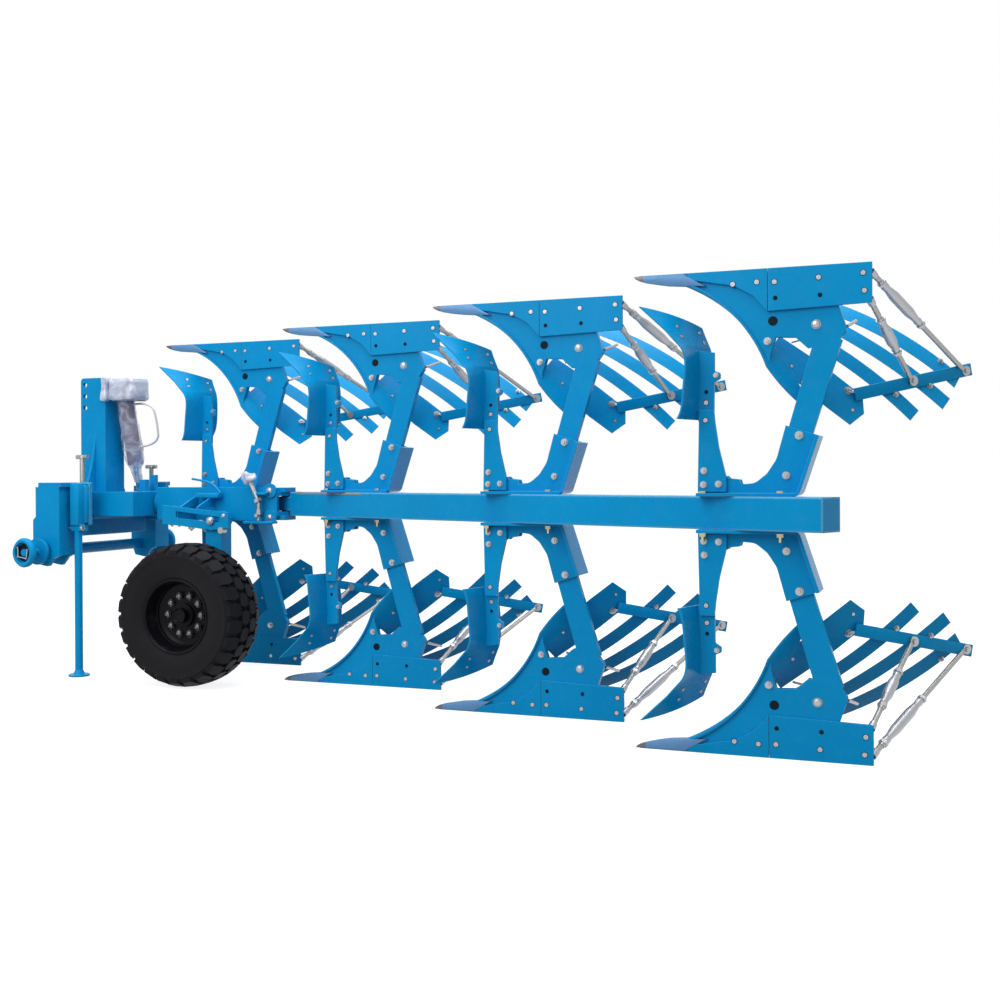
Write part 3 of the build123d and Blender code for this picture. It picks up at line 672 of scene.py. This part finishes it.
# Forged point of a share, in millimetres: distance behind its tip and height over the sole, then where
# the tip is, how wide it is, how far its other side lies back, and how much of it is bare steel
POINT = (
    (0, 1.5),
    (0, 4),
    (7, 12),
    (22, 20),
    (50, 29),
    (95, 38),
    (150, 43),
    (215, 47),
    (262, 51),
    (180, 1.5),
)
POINT_TIP = 842
POINT_WIDTH = 46
POINT_SLANT = 30
BARE = 38


class PLOUGH_OT_points(bpy.types.Operator):
    """Makes the blunt forged points at the front of the shares, bare steel at the tip"""

    bl_idname = "plough.points"
    bl_label = "Share points"

    def execute(self, context):
        for station in range(STATIONS):
            bm = bmesh.new()
            for side in SIDES:
                self.point(bm, station, side)
            finishes = ["worn_point", "bare_steel"]
            finish_piece(f"share_points_{station + 1}", bm, finishes, carrier(station))
        return {"FINISHED"}

    def point(self, bm, station, side):
        outline = [on_body(station, POINT_TIP - back, 2, SOLE - height, side) for back, height in POINT]
        verts = [bm.verts.new(place) for place in outline]
        face = bm.faces.new(verts)
        slab = bmesh.ops.extrude_face_region(bm, geom=[face])
        moved = [item for item in slab["geom"] if isinstance(item, bmesh.types.BMVert)]
        bmesh.ops.translate(bm, vec=(-POINT_SLANT * MM, -POINT_WIDTH * MM, 0), verts=moved)
        edges = list({edge for vert in [*verts, *moved] for edge in vert.link_edges})
        cut = bmesh.ops.bevel(
            bm, geom=edges, offset=0.0025, segments=2, profile=0.5, affect="EDGES", material=-1
        )
        limit = on_body(station, POINT_TIP - BARE, 0, SOLE, side)
        faces = {face for vert in cut["verts"] for face in vert.link_faces}
        edges = {edge for face in faces for edge in face.edges}
        made = bmesh.ops.bisect_plane(
            bm, geom=[*cut["verts"], *edges, *faces], plane_co=limit, plane_no=(1, 0, 0)
        )
        for item in made["geom"]:
            if isinstance(item, bmesh.types.BMFace) and item.calc_center_median().x > limit.x:
                item.material_index = 1


# The beam: swivel pin, in metres, and half its side
SWIVEL = (-0.050, 0.205)
BEAM_HALF = 0.060
# Rusty line on the beam's near top edge: distances from the swivel, and its width and height
RUST = (0.160, 0.660)
RUST_SECTION = (0.008, 0.009)


class PLOUGH_OT_beam(bpy.types.Operator):
    """Adds the rusty line where the paint of the beam's top edge is rubbed"""

    bl_idname = "plough.beam"
    bl_label = "Beam trim"

    def execute(self, context):
        yaw = math.atan2(STEP_Y, STEP_X)
        along = Vector((-math.cos(yaw), math.sin(yaw), 0))
        turn = Matrix.Rotation(-yaw, 4, "Z")
        pin = at(*SWIVEL, 0)
        bm = bmesh.new()
        start, end = (pin + along * length for length in RUST)
        out = Vector((math.sin(yaw), math.cos(yaw), 0))
        middle = (start + end) / 2 + out * (BEAM_HALF - 0.003) + Vector((0, 0, BEAM_HALF - 0.006))
        block(bm, middle, (RUST[1] - RUST[0], *RUST_SECTION), turn, bevel=0.002)
        finish_piece("beam_edge_line", bm, ["rust_line"], "beam")
        return {"FINISHED"}


# The wheel, in millimetres from its middle, as (radius, distance along the axle): half of the tyre's
# section, then the whole of the rim's
CARCASS = (
    (172, 100),
    (180, 108),
    (198, 118),
    (232, 127),
    (262, 129),
    (284, 127.5),
    (288, 129.5),
    (293, 129),
    (296, 125),
    (303, 121),
    (315, 105),
    (323, 80),
    (328, 40),
    (330, 0),
)
RIM = (
    (171, 104),
    (178, 106),
    (180, 111),
    (175, 114),
    (168, 109),
    (163, 92),
    (158, 52),
    (147, 33),
    (128, 24),
    (44, 24),
    (44, 8),
    (124, 8),
    (141, 18),
    (151, 45),
    (152, -92),
    (166, -110),
    (178, -112),
    (180, -106),
    (171, -104),
    (164, -90),
    (164, 90),
)
NUT_CIRCLE = 94
NUTS = 10
DISH_FACE = 24
# Tread at the middle of the tyre, how far it falls at the shoulder, and the half width, in metres
CROWN = (0.331, 0.033, 0.130)
# Rows of tread blocks: middle and width in millimetres, and shift in blocks
TREAD_ROWS = ((-93, 66, 0.0), (-30, 56, 0.5), (30, 56, 0.0), (93, 66, 0.5))


class PLOUGH_OT_wheel(bpy.types.Operator):
    """Makes the tyre with its tread, and the dished rim with its nuts and hub cap"""

    bl_idname = "plough.wheel"
    bl_label = "Wheel"

    def execute(self, context):
        sizes = context.scene.plough_sizes
        low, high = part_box("tyre")
        self.middle = (low + high) / 2
        self.tyre(sizes.lugs, sizes.tread)
        self.rim()
        return {"FINISHED"}

    def crown(self, y):
        top, fall, half = CROWN
        return top - fall * min(1.0, abs(y) / half) ** 3

    def tyre(self, count, depth):
        bm = bmesh.new()
        mirrored = [(r, -y) for r, y in reversed(CARCASS[:-1])]
        spin_outline(bm, [*CARCASS, *mirrored], 96)
        proto = self.tread_block(depth)
        pitch = math.tau / count
        for middle, width, shift in TREAD_ROWS:
            row = proto.copy()
            for vert in row.vertices:
                u, v, w = vert.co
                y = (middle + v * width) * MM
                angle = (shift + u * 0.9) * pitch
                radius = self.crown(y) + w
                vert.co = (radius * math.cos(angle), y, radius * math.sin(angle))
            for index in range(count):
                bm.from_mesh(row)
                row.transform(Matrix.Rotation(pitch, 4, "Y"))
            bpy.data.meshes.remove(row)
        bpy.data.meshes.remove(proto)
        bmesh.ops.translate(bm, vec=self.middle, verts=bm.verts)
        tyre = finish_piece("tyre_tread", bm, ["tyre_rubber"], "wheel", 32.0)
        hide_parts("tyre")

    def tread_block(self, depth):
        """One block, a unit long and wide, with pointed ends that leave a zigzag gap."""
        bm = bmesh.new()
        made = bmesh.ops.create_circle(bm, cap_ends=True, segments=6, radius=0.5)
        bmesh.ops.rotate(bm, cent=(0, 0, 0), matrix=Matrix.Rotation(math.pi / 2, 3, "Z"), verts=made["verts"])
        for vert in made["verts"]:
            if abs(vert.co.y) > 0.1:
                vert.co = (math.copysign(0.36, vert.co.x), math.copysign(0.5, vert.co.y), 0)
        bmesh.ops.translate(bm, vec=(0, 0, -0.004), verts=bm.verts)
        top = bmesh.ops.extrude_face_region(bm, geom=bm.faces[:])
        lifted = [item for item in top["geom"] if isinstance(item, bmesh.types.BMVert)]
        bmesh.ops.translate(bm, vec=(0, 0, depth + 0.004), verts=lifted)
        bmesh.ops.scale(bm, vec=(0.93, 0.93, 1.0), verts=lifted)
        lid = [edge for edge in bm.edges if all(vert in lifted for vert in edge.verts)]
        bmesh.ops.bevel(
            bm, geom=lid, offset=0.0022, segments=1, profile=0.5, affect="EDGES", material=-1
        )
        mesh = bpy.data.meshes.new("tread_block")
        bm.to_mesh(mesh)
        bm.free()
        return mesh

    def rim(self):
        bm = bmesh.new()
        spin_outline(bm, RIM, 72)
        out = (0, 1, 0)
        cone(bm, (0, 0.006, 0), out, 0.058, 0.054, 0.040, 32)
        cap = cone(bm, (0, 0.044, 0), out, 0.038, 0.036, 0.040, 32)
        lid = max({face for vert in cap for face in vert.link_faces}, key=lambda f: f.calc_center_median().y)
        bmesh.ops.inset_region(bm, faces=[lid], thickness=0.008, depth=0.0)
        bmesh.ops.translate(bm, vec=(0, -0.010, 0), verts=lid.verts)
        bmesh.ops.translate(bm, vec=self.middle, verts=bm.verts)
        rim = finish_piece("dished_rim", bm, ["black_rim"], "wheel")
        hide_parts("wheel_rim")
        nuts = bmesh.new()
        for index in range(NUTS):
            angle = math.tau * index / NUTS
            place = Vector((math.cos(angle), 0, math.sin(angle))) * NUT_CIRCLE * MM
            place.y = DISH_FACE * MM
            cone(nuts, place, out, 0.0195, 0.0190, 0.012, 6)
            cone(nuts, place, out, 0.0160, 0.0140, 0.008, 14, lift=0.012)
            cone(nuts, place, out, 0.0140, 0.0070, 0.005, 14, lift=0.020)
        bmesh.ops.translate(nuts, vec=self.middle, verts=nuts.verts)
        finish_piece("wheel_nuts", nuts, ["dark_nut"], "wheel")


# The cylinder's line, in metres: upper eye and crank pin
EYE_PIN = (0.899, 0.290, 0.600)
CRANK_PIN = (0.899, 0.150, 0.0)
# Film round the barrel: distance down the line and radius, in millimetres
BARREL_FILM = (
    (34, 42),
    (60, 47),
    (110, 48),
    (170, 47),
    (250, 52),
    (320, 54),
    (372, 50),
    (402, 40),
    (418, 30),
    (460, 25),
    (500, 22),
)


# Film over the valve block and over the tower's edge: piece, body, middle, size, edge in metres, rounds
FILM_BLOCKS = (
    ("head_film", "barrel", (0.864, 0.300, 0.606), (0.166, 0.142, 0.120), 0.020, 3),
    ("tower_film", "headstock", (0.968, 0.358, 0.608), (0.036, 0.046, 0.124), 0.010, 2),
)
# Hose of the cylinder: its route as (behind the cylinder's line, down it), and its radius, in metres
HOSE = ((0.038, 0.075), (0.164, 0.058), (0.181, 0.175), (0.170, 0.298), (0.038, 0.306))
HOSE_RADIUS = 0.006


class PLOUGH_OT_hose(bpy.types.Operator):
    """Lays the hose that runs from the valve block down to the cylinder's lower end"""

    bl_idname = "plough.hose"
    bl_label = "Cylinder hose"

    def execute(self, context):
        top = at(*EYE_PIN)
        line = (at(*CRANK_PIN) - top).normalized()
        route = [top + line * down - Vector((back, 0, 0)) for back, down in HOSE]
        curve = round_curve("hose", route, HOSE_RADIUS, 4, 16)
        curve.materials.append(hose_material("pale_hose", (0.72, 0.68, 0.66)))
        hose = bpy.data.objects.new("hose", curve)
        context.scene.collection.objects.link(hose)
        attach(hose, "barrel")
        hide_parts("cylinder_hose")
        return {"FINISHED"}


class PLOUGH_OT_film(bpy.types.Operator):
    """Wraps the turnover cylinder and its valve block in packing film"""

    bl_idname = "plough.film"
    bl_label = "Packing film"

    def execute(self, context):
        self.wrinkle = context.scene.plough_sizes.wrinkle
        top = at(*EYE_PIN)
        line = (at(*CRANK_PIN) - top).normalized()
        bm = bmesh.new()
        rings = []
        for down, radius in BARREL_FILM:
            made = bmesh.ops.create_circle(bm, cap_ends=False, segments=40, radius=radius * MM)
            matrix = Matrix.Translation(top + line * down * MM) @ turned(line)
            bmesh.ops.transform(bm, matrix=matrix, verts=made["verts"])
            rings.append(made["verts"])
        bmesh.ops.bridge_loops(bm, edges=bm.edges[:])
        for ring in (rings[0], rings[-1]):
            rim = [edge for edge in bm.edges if all(vert in ring for vert in edge.verts)]
            bmesh.ops.holes_fill(bm, edges=rim, sides=0)
        self.crumple(bm, 2, 19.0)
        finish_piece("barrel_film", bm, ["thin_film"], "barrel", 60.0)
        for name, body, middle, size, edge, rounds in FILM_BLOCKS:
            bm = bmesh.new()
            block(bm, at(*middle), size, bevel=edge)
            self.crumple(bm, rounds, 13.0)
            finish_piece(name, bm, ["packing_film"], body, 60.0)
        return {"FINISHED"}

    def crumple(self, bm, rounds, scale):
        """Divides every edge a few times, then pushes the points in and out in folds."""
        for _ in range(rounds):
            bmesh.ops.subdivide_edges(bm, edges=bm.edges, cuts=1, use_grid_fill=True)
        bm.normal_update()
        for vert in bm.verts:
            fold = noise.noise(vert.co * scale) + 0.4 * abs(noise.noise(vert.co * scale * 2.7))
            vert.co += vert.normal * fold * self.wrinkle


# Parking stand, in metres: its place, then each round part as (height over the floor, lower radius,
# upper radius, length, sides), then each block of its sleeve as (middle, size, edge)
STAND = (0.900, 0.657)
STAND_ROUNDS = (
    (0.006, 0.0195, 0.0195, 0.962, 28),
    (0.000, 0.0520, 0.0520, 0.009, 36),
    (0.009, 0.0300, 0.0195, 0.022, 28),
)
STAND_BLOCKS = (
    ((0.900, 0.657, 0.0015), (0.052, 0.066, 0.213), 0.005),
    ((0.900, 0.647, -0.118), (0.060, 0.060, 0.034), 0.004),
    ((0.894, 0.635, 0.0015), (0.070, 0.024, 0.190), 0.004),
)
STAND_PIN = (0.858, 0.669, -0.118)


class PLOUGH_OT_stand(bpy.types.Operator):
    """Makes the parking stand's tube, foot, sleeve and locking pin"""

    bl_idname = "plough.stand"
    bl_label = "Parking stand"

    def execute(self, context):
        floor = at(*STAND, -SOLE * MM)
        bm = bmesh.new()
        for height, low, high, length, sides in STAND_ROUNDS:
            cone(bm, floor, (0, 0, 1), low, high, length, sides, lift=height)
        stand = finish_piece("stand_tube", bm, ["blue_paint"], "stand_leg")
        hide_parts("stand")
        bm = bmesh.new()
        for middle, size, edge in STAND_BLOCKS:
            block(bm, at(*middle), size, bevel=edge)
        sleeve = finish_piece("stand_holder", bm, ["blue_paint"], "headstock")
        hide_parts("stand_sleeve")
        bm = bmesh.new()
        pin = at(*STAND_PIN)
        rod(bm, pin, pin + Vector((0.090, 0, 0)), 0.008, 14)
        cone(bm, pin + Vector((0.008, 0, 0)), (-1, 0, 0), 0.014, 0.013, 0.008, 14)
        finish_piece("stand_pin", bm, ["zinc_plate"], "headstock")
        return {"FINISHED"}


# Adjusting spindles on the headstock beam: y and top, then x and foot, all in metres
SPINDLES = ((0.575, 0.243), (0.005, 0.196))
SPINDLE_X = 0.942
SPINDLE_FOOT = 0.088
# Clamp bolts of the wheel bracket: x, y, underside, radius
CLAMP_BOLTS = ((0.468, 0.470, -0.095, 0.014), (0.424, 0.470, -0.095, 0.014), (0.330, 0.500, -0.112, 0.015))
# Round pins seen from the left: part, x, z, radius
SIDE_PINS = (
    ("front_frame", -0.045, 0.067, 0.015),
    ("front_frame", -0.045, -0.067, 0.015),
    ("wheel_bracket", 0.200, -0.080, 0.017),
    ("wheel_bracket", 0.128, -0.056, 0.010),
)
# Hand lever of the front frame, in metres
LEVER = ((0.405, 0.385, 0.128), (0.33, 0.385, 0.118), (0.27, 0.385, 0.098), (0.235, 0.385, 0.055))
# Furrow-width screw in front of the swivel, from top to bottom, with its two brackets, in metres
SCREW = ((0.058, 0.400, 0.128), (0.000, 0.400, 0.010), (0.002, 0.400, -0.052))
SCREW_BRACKETS = ((-0.005, 0.384, 0.052, 0.075, 0.048, 0.012), (0.000, 0.388, -0.092, 0.170, 0.056, 0.012))
# Rings that keep the lower links on the ends of the link shaft: the shaft's x and z, its middle and half
# its length in metres, the wire clip's corners in metres, and the ring's section in millimetres
LINK_AXIS = (1.060, -0.235)
SHAFT_MIDDLE = 0.290
PIN_END = 0.575
LINK_CLIP = ((0.030, 0.026), (0.028, -0.020), (-0.022, -0.028), (-0.030, 0.016))
RING = ((19, 0), (60, 0), (67, 6), (68, 22), (60, 34), (48, 34), (46, 12), (19, 12))


class PLOUGH_OT_headstock(bpy.types.Operator):
    """Adds the spindles, bolts, pins, furrow screw, hand lever and link rings of the front end"""

    bl_idname = "plough.headstock"
    bl_label = "Front end"

    def execute(self, context):
        bm = bmesh.new()
        for y, top in SPINDLES:
            foot = at(SPINDLE_X, y, SPINDLE_FOOT)
            cone(bm, foot, (0, 0, 1), 0.0128, 0.0128, top - SPINDLE_FOOT, 20)
            head = at(SPINDLE_X, y, top)
            rod(bm, head - Vector((0.034, 0, 0)), head + Vector((0.034, 0, 0)), 0.0108, 16)
            cone(bm, head, (0, 0, 1), 0.017, 0.013, 0.012, 20, lift=-0.004)
        finish_piece("spindles", bm, ["threaded_zinc"], "headstock")
        bm = bmesh.new()
        for x, y, z, size in CLAMP_BOLTS:
            bolt(bm, at(x, y, z), (0, 0, -1), "nut", size)
        for part, x, z, size in SIDE_PINS:
            place, normal = seat(part, at(x, 1.5, z), (0, -1, 0))
            bolt(bm, place, normal, "dome", size)
        cone(bm, at(0.140, 0.500, -0.128), (0, 1, 0), 0.019, 0.016, 0.030, 18)
        finish_piece("front_bolts", bm, ["zinc_plate"], "turning_frame")
        self.lever()
        self.screw()
        self.rings()
        return {"FINISHED"}

    def screw(self):
        top, middle, low = (at(*place) for place in SCREW)
        bm = bmesh.new()
        rod(bm, middle, top, 0.011, 16)
        rod(bm, low - Vector((0, 0, 0.030)), middle, 0.010, 16)
        finish_piece("furrow_screw", bm, ["threaded_zinc"], "turning_frame")
        bm = bmesh.new()
        cone(bm, middle, top - middle, 0.021, 0.021, 0.018, 6)
        cone(bm, low, (0, 0, 1), 0.019, 0.016, 0.026, 6)
        rod(bm, low + Vector((0, -0.028, -0.004)), low + Vector((0, 0.024, -0.004)), 0.009, 12)
        finish_piece("furrow_nuts", bm, ["zinc_plate"], "turning_frame")
        bm = bmesh.new()
        for x, y, z, *size in SCREW_BRACKETS:
            block(bm, at(x, y, z), size, bevel=0.003)
        finish_piece("screw_brackets", bm, ["blue_paint"], "turning_frame")
        bm = bmesh.new()
        bmesh.ops.create_icosphere(bm, subdivisions=4, radius=0.5)
        bmesh.ops.scale(bm, vec=(0.070, 0.048, 0.072), verts=bm.verts)
        bmesh.ops.translate(bm, vec=top, verts=bm.verts)
        for vert in bm.verts:
            fold = noise.noise(vert.co * 30.0)
            vert.co += (vert.co - top) * fold * 0.5
        finish_piece("screw_wrap", bm, ["packing_film"], "turning_frame", 60.0)

    def rings(self):
        bm = bmesh.new()
        clips = bmesh.new()
        recess_shade = bmesh.new()
        x, z = LINK_AXIS
        for way in (1, -1):
            ring = bmesh.new()
            spin_outline(ring, RING, 40)
            bmesh.ops.scale(ring, vec=(0.96, way, 1.08), verts=ring.verts)
            end = at(x, SHAFT_MIDDLE + way * (PIN_END - 0.020), z)
            bmesh.ops.translate(ring, vec=end, verts=ring.verts)
            mesh = bpy.data.meshes.new("ring")
            ring.to_mesh(mesh)
            ring.free()
            bm.from_mesh(mesh)
            bpy.data.meshes.remove(mesh)
            out = end + Vector((0, way * 0.028, 0))
            corners = [out + Vector((dx, 0, dz)) for dx, dz in LINK_CLIP]
            for before, after in zip(corners, corners[1:]):
                rod(clips, before, after, 0.0032, 10)
            for corner in corners:
                cone(clips, corner - Vector((0, way * 0.004, 0)), (0, way, 0), 0.0052, 0.0040, 0.008, 10)
            # A dark disc over the floor of each ring's recess: painted shade.
            cone(recess_shade, end + Vector((0, way * 0.0135, 0)), (0, way, 0), 0.044, 0.044, 0.002, 32)
        finish_piece("link_rings", bm, ["blue_paint"], "headstock")
        finish_piece("link_clips", clips, ["zinc_plate"], "headstock")
        finish_piece("link_recess_shade", recess_shade, ["shade_black"], "headstock")

    def lever(self):
        curve = round_curve("lever", [at(*place) for place in LEVER], 0.006, 3, 12)
        holder = bpy.data.objects.new("lever_line", curve)
        mesh = bpy.data.meshes.new_from_object(holder)
        bpy.data.objects.remove(holder)
        bm = bmesh.new()
        bm.from_mesh(mesh)
        bmesh.ops.remove_doubles(bm, verts=bm.verts, dist=0.00005)
        block(bm, at(0.300, 0.385, 0.043), (0.130, 0.050, 0.026), bevel=0.004)
        finish_piece("hand_lever", bm, ["blue_paint"], "turning_frame")


# Camera, as fitted to the corners of the eight bodies: pixels, radians and metres
FOCAL = 1200.0
FRAME_SIDE = 1000.0
CENTRE_ROW = 479.821
YAW = 0.360858
PITCH = 0.003519
ROLL = -0.004374
EYE = (-3.257894, 5.604124, 0.137812)
SENSOR = 36.0
# Light of the room, what the floor shows the camera beyond its own light, half the floor's side, and
# the lamps as (name, place, aim, size, power)
SKY = 0.60
FLOOR_LIFT = 0.85
FLOOR_HALF = 60.0
LAMPS = (
    ("key", (2.0, 6.5, 5.0), (0.0, 0.0, 0.9), 5.0, 290.0),
    ("top", (-0.5, 0.0, 6.5), (-0.5, 0.0, 0.0), 6.0, 420.0),
)


class PLOUGH_OT_stage(bpy.types.Operator):
    """Lays the pale floor, hangs the studio lights and sets the camera"""

    bl_idname = "plough.stage"
    bl_label = "Stage"

    def execute(self, context):
        scene = context.scene
        level = math.cos(PITCH)
        ahead = Vector((math.sin(YAW) * level, -math.cos(YAW) * level, -math.sin(PITCH)))
        right = Vector((-math.cos(YAW), -math.sin(YAW), 0.0))
        up = right.cross(ahead)
        turned_right = right * math.cos(ROLL) + up * math.sin(ROLL)
        turned_up = up * math.cos(ROLL) - right * math.sin(ROLL)
        eye = at(*EYE)
        rows = [(turned_right[i], turned_up[i], -ahead[i], eye[i]) for i in range(3)]
        lens = bpy.data.cameras.new("camera")
        lens.sensor_width = SENSOR
        lens.lens = FOCAL / FRAME_SIDE * SENSOR
        lens.shift_y = (CENTRE_ROW - FRAME_SIDE / 2) / FRAME_SIDE
        lens.clip_end = 200.0
        camera = bpy.data.objects.new("camera", lens)
        camera.matrix_world = Matrix((*rows, (0, 0, 0, 1)))
        scene.collection.objects.link(camera)
        scene.camera = camera
        self.floor(scene)
        self.lights(scene)
        scene.view_settings.view_transform = "Standard"
        return {"FINISHED"}

    def floor(self, scene):
        bm = bmesh.new()
        bmesh.ops.create_grid(bm, x_segments=2, y_segments=2, size=FLOOR_HALF)
        mesh = bpy.data.meshes.new("studio_floor")
        bm.to_mesh(mesh)
        bm.free()
        obj = bpy.data.objects.new("studio_floor", mesh)
        scene.collection.objects.link(obj)
        material, tree, shader = new_material("floor_white")
        shader.inputs["Base Color"].default_value = (0.30, 0.30, 0.30, 1)
        shader.inputs["Roughness"].default_value = 0.95
        shader.inputs["Specular IOR Level"].default_value = 0.0
        shader.inputs["Emission Color"].default_value = (1, 1, 1, 1)
        seen = self.seen(tree, FLOOR_LIFT, 0.0)
        tree.links.new(seen, shader.inputs["Emission Strength"])
        obj.data.materials.append(material)

    def seen(self, tree, direct, other):
        """A strength that differs for what the camera sees, straight or in a mirror."""
        path = add(tree, "ShaderNodeLightPath")
        mirror = add(tree, "ShaderNodeMath", operation="MAXIMUM")
        either = add(tree, "ShaderNodeMath", operation="MAXIMUM")
        spread = add(tree, "ShaderNodeMapRange", {1: 0.0, 2: 1.0, 3: other, 4: direct})
        tree.links.new(path.outputs["Is Glossy Ray"], mirror.inputs[0])
        tree.links.new(path.outputs["Is Transmission Ray"], mirror.inputs[1])
        tree.links.new(path.outputs["Is Camera Ray"], either.inputs[0])
        tree.links.new(mirror.outputs[0], either.inputs[1])
        tree.links.new(either.outputs[0], spread.inputs[0])
        return spread.outputs[0]

    def lights(self, scene):
        world = bpy.data.worlds.new("studio")
        world.use_nodes = True
        scene.world = world
        tree = world.node_tree
        back = tree.nodes["Background"]
        back.inputs["Color"].default_value = (1, 1, 1, 1)
        tree.links.new(self.seen(tree, 1.0, SKY), back.inputs["Strength"])
        for name, place, aim, size, power in LAMPS:
            light = bpy.data.lights.new(name, "AREA")
            light.shape = "SQUARE"
            light.size = size
            light.energy = power
            obj = bpy.data.objects.new(name, light)
            way = Vector(aim) - Vector(place)
            obj.matrix_world = Matrix.Translation(place) @ turned(-way)
            scene.collection.objects.link(obj)


class PLOUGH_PT_panel(bpy.types.Panel):
    """Buttons for every piece of the plough"""

    bl_label = "Plough"
    bl_idname = "PLOUGH_PT_panel"
    bl_space_type = "VIEW_3D"
    bl_region_type = "UI"
    bl_category = "Plough"

    def draw(self, context):
        layout = self.layout
        for settings in (context.scene.plough_paint, context.scene.plough_sizes):
            for key in settings.bl_rna.properties.keys():
                if key not in {"rna_type", "name"}:
                    layout.prop(settings, key)
        for operator in OPERATORS:
            layout.operator(operator.bl_idname)


SETTINGS = (PloughPaint, PloughSizes)
OPERATORS = (
    PLOUGH_OT_stage,
    PLOUGH_OT_hose,
    PLOUGH_OT_finishes,
    PLOUGH_OT_bolts,
    PLOUGH_OT_stays,
    PLOUGH_OT_points,
    PLOUGH_OT_beam,
    PLOUGH_OT_wheel,
    PLOUGH_OT_film,
    PLOUGH_OT_stand,
    PLOUGH_OT_headstock,
)
CLASSES = (*SETTINGS, *OPERATORS, PLOUGH_PT_panel)


def register():
    for cls in CLASSES:
        bpy.utils.register_class(cls)
    bpy.types.Scene.plough_paint = PointerProperty(type=PloughPaint)
    bpy.types.Scene.plough_sizes = PointerProperty(type=PloughSizes)


def unregister():
    del bpy.types.Scene.plough_sizes
    del bpy.types.Scene.plough_paint
    for cls in reversed(CLASSES):
        bpy.utils.unregister_class(cls)


def main():
    register()
    for operator in OPERATORS:
        group, call = operator.bl_idname.split(".")
        getattr(getattr(bpy.ops, group), call)()


if __name__ == "__main__":
    main()
